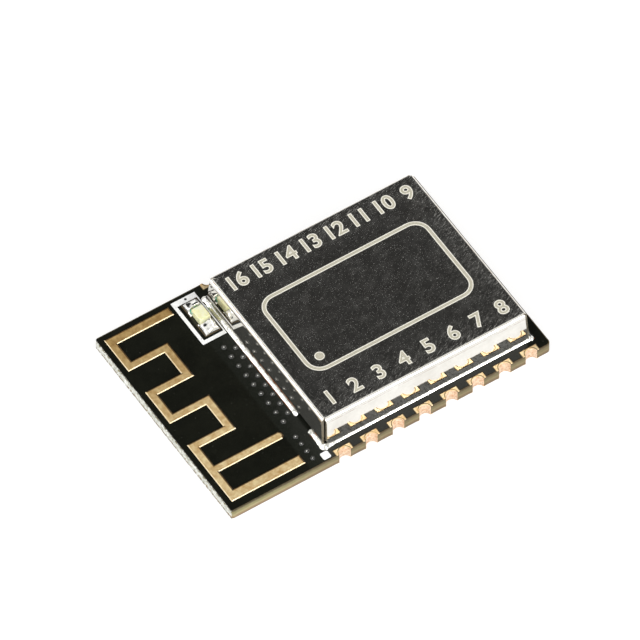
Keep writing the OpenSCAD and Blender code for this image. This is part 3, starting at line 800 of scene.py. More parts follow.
def evaluated_mesh(source: Piece) -> Mesh:
    """Makes a plain mesh of a piece with its modifiers applied.

    Args:
        source: The piece.

    Returns:
        The new mesh.
    """
    bpy.context.view_layer.update()
    graph = bpy.context.evaluated_depsgraph_get()
    return bpy.data.meshes.new_from_object(source.evaluated_get(graph))


def bake(piece: Piece) -> None:
    """Applies a piece's modifiers, so that only a plain mesh is left.

    Args:
        piece: The piece.
    """
    plain = evaluated_mesh(piece)
    piece.modifiers.clear()
    piece.data = plain
    plain.name = piece.name


def merged_copy(node: str, name: str, *finishes: Finish) -> Piece:
    """Copies a CAD node with its loose triangles joined into flat faces.

    Args:
        node: The CAD node.
        name: The new piece's name.
        *finishes: Finishes that the copy takes, the first of them all over.

    Returns:
        The copy.
    """
    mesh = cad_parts[node].data.copy()
    mesh.materials.clear()
    with edited(mesh) as shape:
        bmesh.ops.remove_doubles(shape, verts=shape.verts, dist=JOIN_M)
        bmesh.ops.dissolve_limit(shape, angle_limit=math.radians(0.5), verts=shape.verts,
                                 edges=shape.edges)
    return place_piece(name, mesh, *finishes)


def round_edges(piece: Piece, width_mm: float, segments: int = 2, angle_deg: float = 40) -> None:
    """Rounds a piece's sharp edges and shades its curved faces smooth.

    Args:
        piece: The piece.
        width_mm: Width of the rounding.
        segments: Faces across it.
        angle_deg: Least angle of an edge that is rounded.
    """
    bevel = piece.modifiers.new("edge", "BEVEL")
    bevel.width, bevel.segments = width_mm * MM, segments
    bevel.limit_method, bevel.angle_limit = "ANGLE", math.radians(angle_deg)
    bevel.harden_normals = True
    bake(piece)


def solids_of(node: str) -> list[Vector]:
    """Finds the separate solids of a CAD node.

    Args:
        node: The CAD node.

    Returns:
        The centre of each, in millimetres.
    """
    centres, seen = [], set()
    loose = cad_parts[node].data.copy()
    with edited(loose) as shape:
        bmesh.ops.remove_doubles(shape, verts=shape.verts, dist=JOIN_M)
        for start in shape.verts:
            group, stack = [], [start]
            while stack:
                vert = stack.pop()
                if vert not in seen:
                    seen.add(vert)
                    group.append(vert.co)
                    stack += [edge.other_vert(vert) for edge in vert.link_edges]
            if group:
                low = Vector(min(c[i] for c in group) for i in range(3))
                high = Vector(max(c[i] for c in group) for i in range(3))
                centres.append((low + high) / 2 / MM)
    bpy.data.meshes.remove(loose)
    return sorted(centres, key=lambda c: (round(c.x, 3), round(c.y, 3)))


def dress(finishes: dict[str, Finish]) -> None:
    """Gives CAD nodes that keep their shape a better material.

    Args:
        finishes: CAD node to finish.
    """
    for node, finish in finishes.items():
        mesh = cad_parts[node].data
        mesh.materials.clear()
        mesh.materials.append(finish.material())
        log.info("%s: dressed", node)


def new_tree(name: str, *labels: str) -> tuple[Graph, dict[str, str]]:
    """Starts a Geometry Nodes tree with a geometry and named sizes as its inputs.

    Args:
        name: The tree's name.
        *labels: The sizes' names.

    Returns:
        The tree, and each size's socket identifier.
    """
    tree = bpy.data.node_groups.new(name, "GeometryNodeTree")
    sockets = tree.interface
    sockets.new_socket("Geometry", in_out="INPUT", socket_type="NodeSocketGeometry")
    named = {label: sockets.new_socket(label, in_out="INPUT",
                                       socket_type="NodeSocketFloat").identifier
             for label in labels}
    sockets.new_socket("Geometry", in_out="OUTPUT", socket_type="NodeSocketGeometry")
    return Graph(tree), named


def painted(graph: Graph, geometry: Socket, finish: Finish) -> Socket:
    """Ends a tree's branch: realizes its instances and sets its material.

    Args:
        graph: The tree.
        geometry: What the branch makes.
        finish: The finish that it takes.

    Returns:
        The finished geometry.
    """
    real = graph.add("GeometryNodeRealizeInstances", (geometry,))
    return graph.add("GeometryNodeSetMaterial", {"Geometry": real, "Material": finish.material()})


def run_tree(piece: Piece, graph: Graph, sizes: dict[str, float]) -> None:
    """Runs a Geometry Nodes tree on a piece and keeps the plain mesh.

    Args:
        piece: The piece.
        graph: The tree.
        sizes: Each input socket's identifier, and its value.
    """
    modifier = piece.modifiers.new("nodes", "NODES")
    modifier.node_group = graph.tree
    for identifier, value in sizes.items():
        modifier[identifier] = value
    bake(piece)


@dataclass
class CircuitBoard:
    """The laminate with its snapped end, the mask, its copper and its ink.

    Attributes:
        score_mm: How far the board's scored end lies behind its broken web.
        score_depth_mm: Depth of the score on both faces.
        web_rough_mm: Unevenness of the broken web.
        flat_rough_mm: Unevenness of the score's own faces.
        rows_mm: Depths of the end's rows of points, from the upper face.
        step_mm: Distance between two columns of points.
        root_mm: How far the end reaches into the laminate.
        corner_mm: Radius of the board's upright corners.
        trim_mm: Distance from the end's sides to the board's long edges.
        bevel_mm: Rounding of the pads' edges.
        notch_mm: Radius of the half holes.
        edge_mm: Width of the antenna's sloping edges.
        creep_mm: Width of the painted shade band beside the far edges.
        proud_mm: How far the antenna stands above its CAD height.
    """

    score_mm: float = 0.07
    score_depth_mm: float = 0.27
    web_rough_mm: float = 0.09
    flat_rough_mm: float = 0.012
    rows_mm: tuple[float, ...] = (
        0.0, 0.09, 0.18, 0.27, 0.33, 0.39, 0.45, 0.51, 0.6, 0.7, 0.8, 0.83)
    step_mm: float = 0.09
    root_mm: float = 0.05
    corner_mm: float = 0.18
    trim_mm: float = 0.08
    bevel_mm: float = 0.02
    notch_mm: float = 0.42
    edge_mm: float = 0.045
    creep_mm: float = 0.055
    proud_mm: float = 0.035

    def laminate(self) -> None:
        """Makes the laminate, set back at the snapped end, and rounds its corners."""
        low, high = extent("board_laminate")
        board = merged_copy("board_laminate", "board", LAMINATE)
        back = (low.x + self.score_mm) * MM
        for vert in board.data.vertices:
            if vert.co.x < (low.x + self.bevel_mm) * MM:
                vert.co.x = back
        with edited(board.data) as shape:
            upright = [edge for edge in shape.edges
                       if all(abs(v.co.x - back) < JOIN_M * 10 for v in edge.verts)
                       and abs(edge.verts[0].co.z - edge.verts[1].co.z) > 0.1 * MM
                       and abs(edge.verts[0].co.y) > (high.y - 0.01) * MM]
            bmesh.ops.bevel(shape, geom=upright, offset=self.corner_mm * MM, segments=4,
                            profile=0.5, affect="EDGES")
        settle(board, Slot.LAMINATE, "board_laminate")

    def broken_x(self, y: float, depth: float, low: Vector, high: Vector) -> float:
        """Gives how far the snapped end reaches at one of its points.

        Args:
            y: The point's place along the end.
            depth: Its depth below the upper face.
            low: The laminate's lowest corner.
            high: The laminate's highest corner.

        Returns:
            The point's X.
        """
        from_skin = max(0.0, min(depth, high.z - low.z - depth))
        slope = min(from_skin / self.score_depth_mm, 1.0)
        broken = noise.noise(Vector((y * 5, depth * 9, 3.1)))
        broken += 0.6 * noise.noise(Vector((y * 17, depth * 21, 8.7)))
        web = slope ** 3 * self.web_rough_mm * max(0.0, 0.45 + broken)
        flat = self.flat_rough_mm * noise.noise(Vector((y * 30, depth * 30, 1.7)))
        short = max(0.0, self.corner_mm - min(y - low.y, high.y - y))
        rounding = self.corner_mm - math.sqrt(self.corner_mm ** 2 - short ** 2)
        crest = slope * (self.score_mm - self.web_rough_mm * 0.9)
        return max(low.x + self.score_mm + rounding + flat - crest - web, low.x)

    def snapped_end(self) -> None:
        """Makes the end that was snapped off a panel: two scored slopes and a broken web."""
        low, high = extent("board_laminate")
        start = low.y + self.trim_mm
        span = high.y - low.y - 2 * self.trim_mm
        columns, rows = int(span / self.step_mm), len(self.rows_mm)
        along = [start + span * j / columns for j in range(columns + 1)]
        points = [(self.broken_x(y, depth, low, high), y, high.z - depth)
                  for y in along for depth in self.rows_mm]
        base, root = len(points), low.x + self.score_mm + self.root_mm
        points += [(root, y, high.z - depth) for y in along
                   for depth in (self.rows_mm[0], self.rows_mm[-1])]
        faces = quads(columns + 1, rows)
        for j in range(columns):
            first, last, top = j * rows, (j + 1) * rows - 1, base + 2 * j
            faces += [(top, first, first + rows, top + 2), (last, top + 1, top + 3, last + rows),
                      (top + 1, top, top + 2, top + 3)]
        faces += [(base + 2 * j, *range(j * rows, (j + 1) * rows), base + 2 * j + 1)
                  for j in (0, columns)]
        name = "board_snapped_end"
        settle(place_piece(name, mesh_of(name, points, faces, smooth=False), BROKEN_LAMINATE),
               Slot.LAMINATE)

    def antenna(self) -> None:
        """Makes the plated meander with sloping edges: a painted highlight on the near ones,
        painted shade on and beside the far ones.
        """
        far_shade, highlit = 1, 2
        trace = merged_copy("antenna_trace", "antenna", ANTENNA_GOLD, FAR_EDGE_SHADE, EDGE_HIGHLIGHT_GOLD)
        top = extent("antenna_trace")[1].z * MM
        with edited(trace.data) as shape:
            upper = [face for face in shape.faces if face.normal.z > 0.9
                     and abs(face.calc_center_median().z - top) < JOIN_M * 10]
            for vert in {vert for face in upper for vert in face.verts}:
                vert.co.z = top + self.proud_mm * MM
            slopes = bmesh.ops.inset_region(
                shape, faces=upper, thickness=self.edge_mm * MM, use_boundary=True,
                use_even_offset=True)["faces"]
            inside = {vert for face in upper for vert in face.verts}
            for vert in {vert for face in slopes for vert in face.verts} - inside:
                vert.co.z -= self.edge_mm * MM
            shade_band = bmesh.ops.inset_region(
                shape, faces=upper, thickness=self.creep_mm * MM, use_boundary=True,
                use_even_offset=True)["faces"]
            # Slopes that face +X or +Y take painted shade, the others a painted highlight.
            for face in slopes:
                face.normal_update()
                is_far = max(face.normal.x, face.normal.y) > 0.4
                face.material_index = far_shade if is_far else highlit
            for face in shade_band:
                if any(other.material_index == far_shade and other.normal.z < 0.9
                       for edge in face.edges for other in edge.link_faces):
                    face.material_index = far_shade
        settle(trace, Slot.ANTENNA_GOLD, "antenna_trace")

    def pads(self) -> None:
        """Rounds the castellated pads' edges, and gives the holes' walls their own finish, paler as
        a painted reflection.
        """
        for node in pad_nodes():
            low, high = extent(node)
            pad = merged_copy(node, "castellation_" + node[-2:], PAD_GOLD, BARREL_GOLD_PAINTED_REFLECTION)
            round_edges(pad, self.bevel_mm)
            axis = Vector(((low.x + high.x) / 2, low.y if low.y < 0 else high.y))
            # The holes' walls take the paler gold with its painted reflection.
            for face in pad.data.polygons:
                away = (face.center.xy / MM - axis).length
                if away < self.notch_mm + 0.01 and abs(face.normal.z) < 0.5:
                    face.material_index = 1
            settle(pad, Slot.PAD_GOLD, node)

    def build(self) -> None:
        """Builds the board and dresses its flat layers."""
        self.laminate()
        self.snapped_end()
        self.antenna()
        self.pads()
        dress({"solder_mask_top": SOLDER_MASK, "solder_mask_bottom": SOLDER_MASK,
               "legend_ink": INK, "ground_pour_top": COPPER, "ground_pour_bottom": COPPER,
               "stitching_vias": COPPER, "component_lands": LAND_GOLD})


@dataclass
class TentedVias:
    """Stitching vias: the mask over each hole dips in, stands up round it and holds a bead.

    Attributes:
        rim_mm: Radius of the tent.
        proud_mm: Its height.
        turns: Number of points round it.
        tent: Radius and height of the mask's rings, as shares of the tent's own.
        bead: The same of the bead of tin in the dip.
        least: Least width, depth and height of a tent against the named size.
        most: The greatest.
    """

    rim_mm: float = 0.18
    proud_mm: float = 0.065
    turns: int = 14
    tent: Profile = ((1.0, 0.0), (0.86, 0.7), (0.72, 1.0), (0.56, 1.0), (0.34, 0.2), (0.0, 0.1))
    bead: Profile = ((0.26, 0.0), (0.24, 0.5), (0.15, 0.85), (0.0, 1.0))
    least: Point = (0.9, 0.9, 0.7)
    most: Point = (1.1, 1.1, 1.1)

    def build(self) -> None:
        """Sets one dimpled tent on each via with Geometry Nodes."""
        level = extent("solder_mask_top")[1].z
        points = [(c.x, c.y, level) for c in solids_of("stitching_vias")]
        piece = place_piece("via_tents", mesh_of("via_tents", points, []))
        graph, named = new_tree("set_tents", "Size")
        given = graph.add("NodeGroupInput").node.outputs
        varied = graph.add("FunctionNodeRandomValue", {
            "Min": self.least, "Max": self.most, "Seed": 5}, data_type="FLOAT_VECTOR")
        scale = graph.add("VectorMath", (varied, given["Size"]), operation="MULTIPLY")
        joined = graph.add("GeometryNodeJoinGeometry")
        shapes = []
        for profile, finish in ((self.tent, DOMED_MASK), (self.bead, SOLDER)):
            shapes.append(place_piece("via_shape", self.lathe(profile)))
            shape = graph.add("GeometryNodeObjectInfo", {"Object": shapes[-1]}, "Geometry")
            placed = graph.add("GeometryNodeInstanceOnPoints", {
                "Points": given["Geometry"], "Instance": shape, "Scale": scale})
            graph.tree.links.new(painted(graph, placed, finish), joined.node.inputs[0])
        graph.add("NodeGroupOutput", (joined,))
        run_tree(piece, graph, {named["Size"]: 1.0})
        for shape in shapes:
            bpy.data.objects.remove(shape)
        settle(piece, Slot.MASK)

    def lathe(self, profile: Profile) -> Mesh:
        """Turns a profile round its axis.

        Args:
            profile: Radius and height of each ring, as shares of the tent's size.

        Returns:
            The mesh, standing on the origin.
        """
        turns, rings = self.turns, len(profile) - 1
        angles = [2 * math.pi * (i + 0.5) / turns for i in range(turns)]
        points = [(radius * self.rim_mm * math.cos(angle), radius * self.rim_mm * math.sin(angle),
                   height * self.proud_mm) for radius, height in profile[:-1] for angle in angles]
        tip, inner = len(points), (rings - 1) * turns
        points.append((0.0, 0.0, profile[-1][1] * self.proud_mm))
        faces = quads(rings, turns, is_ring=True)
        faces += [(inner + i, inner + (i + 1) % turns, tip) for i in range(turns)]
        faces.append(tuple(reversed(range(turns))))
        return mesh_of("via_shape", points, faces)


@dataclass
class ShieldCan:
    """The folded can: a lid, four folds that open at the corners, and four walls.

    Attributes:
        sheet_mm: Thickness of the sheet.
        fold_mm: Outer radius of the folds.
        seam_mm: Side of the open seam at each corner.
        window_mm: Width and height of the window over the antenna's feed.
        arc_steps: Number of facets in a fold.
        lid_drop_mm: How far the lid lies below the can's highest point.
        edge_mm: Rounding of the sheared edges.
        lean_mm: How far each wall's foot stands out, from the -Y wall on.
        outer: Points of the outer skin, as they are added.
        inner: The matching points of the inner skin.
        faces: Faces of the outer skin, each turned the same way.
        known: Number of each outer point that was added.
        lid_edges: Numbers of the points along each of the lid's edges.
    """

    sheet_mm: float = 0.2
    fold_mm: float = 0.36
    seam_mm: float = 0.24
    window_mm: tuple[float, float] = (1.6, 0.4)
    arc_steps: int = 8
    lid_drop_mm: float = 0.004
    edge_mm: float = 0.018
    lean_mm: tuple[float, ...] = (0.18, 0.1, 0.18, 0.1)
    outer: list[Vector] = field(default_factory=list)
    inner: list[Vector] = field(default_factory=list)
    faces: list[Face] = field(default_factory=list)
    known: dict[Face, int] = field(default_factory=dict)
    lid_edges: list[list[int]] = field(default_factory=list)

    def point(self, out: Vector, in_: Vector) -> int:
        """Adds a pair of matching skin points, unless it is there.

        Args:
            out: The outer skin's point.
            in_: The inner skin's point.

        Returns:
            The pair's number.
        """
        key = tuple(round(c * 1e5) for c in out)
        if key not in self.known:
            self.known[key] = len(self.outer)
            self.outer.append(out)
            self.inner.append(in_)
        return self.known[key]

    def side(self, centre: Vector, half_along: float, half_out: float, top: float, foot: float,
             turn: int, window: tuple[float, float] | None) -> None:
        """Adds one fold and the wall below it.

        Args:
            centre: The can's centre, in plan.
            half_along: Half the can's size along this wall.
            half_out: Half the can's size across it.
            top: Height of the lid's upper face.
            foot: Height of the rim.
            turn: Number of quarter turns from the wall that faces -Y.
            window: Start and end of the window along the wall, if it has one.
        """
        spin = Matrix.Rotation(turn * math.pi / 2, 3, "Z")
        stops = [-1.0, *(window or ()), 1.0]
        rows: list[list[int]] = []

        def row(reach: float, out: float, deep: float, height: float, height_in: float) -> None:
            """Adds a row of points along the wall: its reach, and both skins' places."""
            alongs = [stop * reach if abs(stop) == 1.0 else stop for stop in stops]
            rows.append([self.point(centre + spin @ Vector((along, -out, height)),
                                    centre + spin @ Vector((along, -deep, height_in)))
                         for along in alongs])

        hinge, axis = top - self.fold_mm, half_out - self.fold_mm
        inner_fold = self.fold_mm - self.sheet_mm
        for step in range(self.arc_steps + 1):
            angle = math.pi / 2 * step / self.arc_steps
            swing, rise = math.sin(angle), math.cos(angle)
            row(half_along - self.fold_mm + swing * (self.fold_mm - self.seam_mm * swing),
                axis + self.fold_mm * swing, axis + inner_fold * swing,
                hinge + self.fold_mm * rise, hinge + inner_fold * rise)
        for level in [foot + self.window_mm[1], foot] if window else [foot]:
            share = (hinge - level) / (hinge - foot)
            out = half_out + self.lean_mm[turn] * share
            row(half_along - self.seam_mm + self.lean_mm[turn - 1] * share,
                out, out - self.sheet_mm, level, level)
        for i, (upper, lower) in enumerate(zip(rows, rows[1:])):
            for k in range(len(stops) - 1):
                if not (window and i == len(rows) - 2 and k == 1):
                    self.faces.append((upper[k], lower[k], lower[k + 1], upper[k + 1]))
        self.lid_edges.append(rows[0])

    def sheet(self) -> Mesh:
        """Closes the outer and the inner skin into one sheet of metal.

        Returns:
            The closed mesh.
        """
        count = len(self.outer)
        used = {pair for face in self.faces for pair in zip(face, (*face[1:], face[0]))}
        closed = [*self.faces, *(tuple(i + count for i in reversed(face)) for face in self.faces)]
        closed += [(b, a, a + count, b + count) for a, b in sorted(used) if (b, a) not in used]
        return mesh_of("can", [*self.outer, *self.inner], closed)

    def build(self) -> None:
        """Builds the can as one closed sheet of metal."""
        low, high = extent("shield_can")
        half, centre = (high - low) / 2, (high + low) / 2
        centre.z = 0.0
        start = centre.y - feed_y() - self.window_mm[0] / 2
        window = (start, start + self.window_mm[0])
        for turn, (along, out) in enumerate([(half.x, half.y), (half.y, half.x)] * 2):
            self.side(centre, along, out, high.z - self.lid_drop_mm, low.z, turn,
                      window if turn == 3 else None)
        self.faces.append(tuple(number for edge in self.lid_edges for number in edge[:-1]))
        can = place_piece("can", self.sheet(), TINNED_SHEET, SHEARED_END)
        round_edges(can, self.edge_mm, 2, 50)
        for face in can.data.polygons:
            at, near = face.center / MM, self.seam_mm + 0.01
            is_corner = (min(abs(at.x - low.x), abs(at.x - high.x)) < near
                         and min(abs(at.y - low.y), abs(at.y - high.y)) < near)
            if is_corner and abs(face.normal.y) > 0.9:
                face.material_index = 1
        settle(can, Slot.CAN, "shield_can")


@dataclass
class SolderSeam:
    """The solder that joins the can's rim to the board: a lumpy bead with a hollow back.

    Attributes:
        can: The can that it joins.
        section_mm: The bead's outline, outwards from the wall and up from the board.
        step_mm: Distance between two sections.
        corner_mm: Radius at which it goes round a corner.
        uneven: How much the bead's size changes along its run.
        uneven_mm: Over what length it does.
        lump_mm: Height of its small lumps.
        lump_size_mm: Their size.
    """

    can: ShieldCan
    section_mm: Profile = (
        (-0.1, 0.0), (0.12, 0.0), (0.123, 0.01), (0.102, 0.032), (0.074, 0.056), (0.045, 0.08),
        (0.02, 0.1), (0.0, 0.115), (-0.1, 0.115))
    step_mm: float = 0.05
    corner_mm: float = 0.1
    uneven: float = 0.12
    uneven_mm: float = 0.8
    lump_mm: float = 0.022
    lump_size_mm: float = 0.22

    def stations(self) -> list[Point]:
        """Lists the bead's corners and swellings, from one side of the window to the other.

        Returns:
            Each one's X and Y, and the bead's size there.
        """
        low, high = extent("shield_can")
        lean, half = self.can.lean_mm, self.can.window_mm[0] / 2
        front, right, back, left = (low.y - lean[0], high.x + lean[1], high.y + lean[2],
                                    low.x - lean[3])
        end, start = feed_y() - half + 0.12, feed_y() + half
        return [(left, end, 0.9), (left, end - 0.12, 1.8), (left, end - 0.4, 1.2),
                (left, front + 0.35, 1.7), (left, front, 2.1), (left + 0.35, front, 1.5),
                (left + 0.9, front, 0.85), (right - 0.6, front, 0.85), (right - 0.15, front, 1.1),
                (right, front, 1.6), (right, front + 0.7, 1.5), (right, back - 0.6, 1.5),
                (right, back, 1.6), (right - 0.6, back, 1.0), (left + 0.7, back, 1.0),
                (left, back, 2.1), (left, back - 0.6, 1.9), (left, back - 1.4, 1.6),
                (left, start + 3.0, 1.25), (left, start + 0.6, 1.35), (left, start, 1.8),
                (left, start - 0.12, 1.1)]

    def tree(self, shape: Piece) -> tuple[Graph, dict[str, str]]:
        """Makes the Geometry Nodes tree that sweeps the section.

        Args:
            shape: The object that holds the bead's section.

        Returns:
            The tree, and each named input's identifier.
        """
        graph, named = new_tree("run_solder", "Uneven", "Lumps")
        given = graph.add("NodeGroupInput").node.outputs
        rail = graph.add("GeometryNodeMeshToCurve", (given["Geometry"],))
        rounded = graph.add("GeometryNodeFilletCurve", {
            "Curve": rail, "Radius": self.corner_mm * MM, "Count": 4}, mode="POLY")
        fine = graph.add("GeometryNodeResampleCurve", {
            "Curve": rounded, "Length": self.step_mm * MM}, mode="LENGTH")
        spot = graph.add("GeometryNodeInputPosition")
        swell = Patches(self.uneven_mm, 0.3, 0.7, detail=3.0, rough=0.7).weigh(graph, spot)
        local = graph.add("Math", (swell, given["Uneven"], 1.0), operation="MULTIPLY_ADD")
        size = graph.add("GeometryNodeInputNamedAttribute", {"Name": "size"}, data_type="FLOAT")
        scale = graph.add("Math", (local, size), operation="MULTIPLY")
        upright = graph.add("GeometryNodeSetCurveNormal", {"Curve": fine}, mode="Z_UP")
        taken = graph.add("GeometryNodeObjectInfo", {"Object": shape}, "Geometry")
        ring = graph.add("GeometryNodeMeshToCurve", (taken,))
        swept = graph.add("GeometryNodeCurveToMesh", {
            "Curve": upright, "Profile Curve": ring, "Scale": scale, "Fill Caps": True})
        bumps = graph.add("TexNoise", {
            "Vector": spot, "Scale": 1 / (self.lump_size_mm * MM), "Detail": 3.0,
            "Roughness": 0.75})
        push = graph.add("Math", (bumps, 0.5), operation="SUBTRACT")
        reach = graph.add("Math", (push, given["Lumps"]), operation="MULTIPLY")
        outward = graph.add("GeometryNodeInputNormal")
        offset = graph.add("VectorMath", {0: outward, "Scale": reach}, operation="SCALE")
        lumpy = graph.add("GeometryNodeSetPosition", {"Geometry": swept, "Offset": offset})
        graph.add("NodeGroupOutput", (painted(graph, lumpy, SEAM_SOLDER),))
        return graph, named

    def build(self) -> None:
        """Sweeps the bead's section round the rim with Geometry Nodes."""
        foot, stops = extent("shield_can")[0].z, self.stations()
        mesh = bpy.data.meshes.new("solder_path")
        mesh.from_pydata([Vector((x, y, foot)) * MM for x, y, _ in stops],
                         [(i, i + 1) for i in range(len(stops) - 1)], [])
        sizes = mesh.attributes.new("size", "FLOAT", "POINT")
        sizes.data.foreach_set("value", [size for _, _, size in stops])
        piece = place_piece("solder_seam", mesh)
        outline, count = bpy.data.meshes.new("solder_section"), len(self.section_mm)
        outline.from_pydata([Vector((x, -y, 0)) * MM for x, y in self.section_mm],
                            [(i, (i + 1) % count) for i in range(count)], [])
        shape = place_piece("solder_section", outline)
        graph, named = self.tree(shape)
        run_tree(piece, graph, {named["Uneven"]: self.uneven,
                                named["Lumps"]: self.lump_mm * 2 * MM})
        bpy.data.objects.remove(shape)
        turn_out(piece.data)
        settle(piece, Slot.SOLDER, "shield_solder")


@dataclass
class LidMarks:
    """Laser-etched pin numbers on the lid, round a plain frame.

    Attributes:
        digit_mm: Height of a figure.
        cap: Height of a figure as a share of the font's size.
        inset_mm: Distance from the can's side to the middle of a figure.
        weight: Growth of a figure's strokes, as a share of the font's size.
        spread: How close the figures stand, as a share of the pads' own spacing.
        rim_mm: Width of the brighter rim that the laser leaves.
        frame_mm: Length and width of the frame's middle line.
        corner_mm: Radius of its corners.
        corner_steps: Number of facets in a corner.
        line_mm: Width of its line.
        dot_mm: Radius of the pin-1 dot.
        under_mm: Depth to which the marks reach into the lid.
        rim_drop_mm: How much lower the rim is.
    """

    digit_mm: float = 1.1
    cap: float = 0.72
    inset_mm: float = 1.35
    weight: float = 0.02
    spread: float = 0.92
    rim_mm: float = 0.06
    frame_mm: tuple[float, float] = (12.2, 6.6)
    corner_mm: float = 1.0
    corner_steps: int = 8
    line_mm: float = 0.24
    dot_mm: float = 0.3
    under_mm: float = 0.006
    rim_drop_mm: float = 0.0015

    def lettering(self, words: str, x: float, y: float, offset: float, top: float) -> Mesh:
        """Draws plain figures as a thin plate.

        Args:
            words: The figures.
            x: Their centre along X, in millimetres.
            y: Their centre along Y.
            offset: Growth of the outline, as a share of the font's size.
            top: Height of the plate's upper face.

        Returns:
            The plate's mesh, in metres.
        """
        curve = bpy.data.curves.new("figure", "FONT")
        curve.body, curve.size, curve.offset = words, 1.0, offset
        curve.align_x, curve.align_y = "CENTER", "CENTER"
        curve.resolution_u, curve.extrude = 5, 0.5
        writer = bpy.data.objects.new("figure", curve)
        bpy.context.scene.collection.objects.link(writer)
        plate = evaluated_mesh(writer)
        bpy.data.objects.remove(writer)
        figure = self.digit_mm / self.cap
        scale = Matrix.Diagonal((figure * MM, figure * MM, self.under_mm * MM, 1.0))
        plate.transform(Matrix.Translation(Vector((x, y, top - self.under_mm / 2)) * MM) @ scale)
        return plate

    def loop(self, centre: Vector, half: tuple[float, float], corner: float,
             grow: float = 0.0, drop: float = 0.0) -> list[Point]:
        """Lists the points of a rectangle with round corners.

        Args:
            centre: Its centre.
            half: Half its length and width.
            corner: Radius of its corners.
            grow: How far all its sides move out.
            drop: How far it lies below its centre.

        Returns:
            The points, counter-clockwise.
        """
        points, radius = [], corner + grow
        for quarter, (sx, sy) in enumerate(((1, 1), (-1, 1), (-1, -1), (1, -1))):
            for step in range(self.corner_steps + 1):
                angle = math.pi / 2 * (quarter + step / self.corner_steps)
                points.append((centre.x + sx * (half[0] + grow - radius) + radius * math.cos(angle),
                               centre.y + sy * (half[1] + grow - radius) + radius * math.sin(angle),
                               centre.z - drop))
        return points

    def band(self, centre: Vector, half: tuple[float, float], width: float) -> Mesh:
        """Draws a round-cornered line as a thin plate.

        Args:
            centre: Its centre, at the height of its upper face.
            half: Half the length and width of its middle line.
            width: Width of the line.

        Returns:
            The plate's mesh, in metres.
        """
        out, under = width / 2, self.under_mm
        rings = [self.loop(centre, half, self.corner_mm, grow, drop) for grow, drop in (
            (out, 0.0), (-out, 0.0), (-out, under), (out, under), (out, 0.0))]
        return mesh_of("band", [p for ring in rings for p in ring],
                       quads(len(rings), len(rings[0]), is_ring=True), smooth=False)

    def disc(self, centre: Vector, radius: float) -> Mesh:
        """Draws a round dot as a thin plate.

        Args:
            centre: Its centre, at the height of its upper face.
            radius: Its radius.

        Returns:
            The plate's mesh, in metres.
        """
        upper, lower = (self.loop(centre, (radius, radius), radius, 0.0, drop)
                        for drop in (0.0, self.under_mm))
        count = len(upper)
        faces = [tuple(range(count)), tuple(range(count, 2 * count))]
        return mesh_of("disc", [*upper, *lower], faces + quads(2, count, is_ring=True),
                       smooth=False)

    def marks(self, is_rim: bool) -> list[Mesh]:
        """Draws every mark once, as its fill or as its rim.

        Args:
            is_rim: Whether the marks are drawn wider and lower, for the rim.

        Returns:
            The marks' meshes.
        """
        low, high = extent("shield_can")
        grow = self.rim_mm / 2 * (1 if is_rim else -1)
        top = high.z - (self.rim_drop_mm if is_rim else 0.0)
        middle = Vector(((low.x + high.x) / 2, (low.y + high.y) / 2, top))
        offset = self.weight + grow / self.digit_mm * self.cap
        meshes = []
        for node in pad_nodes():
            near, far = extent(node)
            y = low.y + self.inset_mm if near.y < 0 else high.y - self.inset_mm
            x = middle.x + ((near.x + far.x) / 2 - middle.x) * self.spread
            meshes.append(self.lettering(str(int(node[-2:])), x, y, offset, top))
        half = (self.frame_mm[0] / 2, self.frame_mm[1] / 2)
        dot = middle + Vector((self.corner_mm - half[0], self.corner_mm - half[1], 0))
        return [*meshes, self.band(middle, half, self.line_mm + 2 * grow),
                self.disc(dot, self.dot_mm + grow)]

    def build(self) -> None:
        """Etches the pads' numbers along both sides of the lid, the frame and the dot."""
        for is_rim, name, finish in ((False, "etched_marks", ETCHED),
                                     (True, "etched_rims", ETCHED_RIM)):
            joined = bpy.data.meshes.new(name)
            with edited(joined) as shape:
                for mesh in self.marks(is_rim):
                    shape.from_mesh(mesh)
                bmesh.ops.remove_doubles(shape, verts=shape.verts, dist=JOIN_M / 10)
            joined.materials.clear()
            settle(place_piece(name, joined, finish), Slot.CAN)


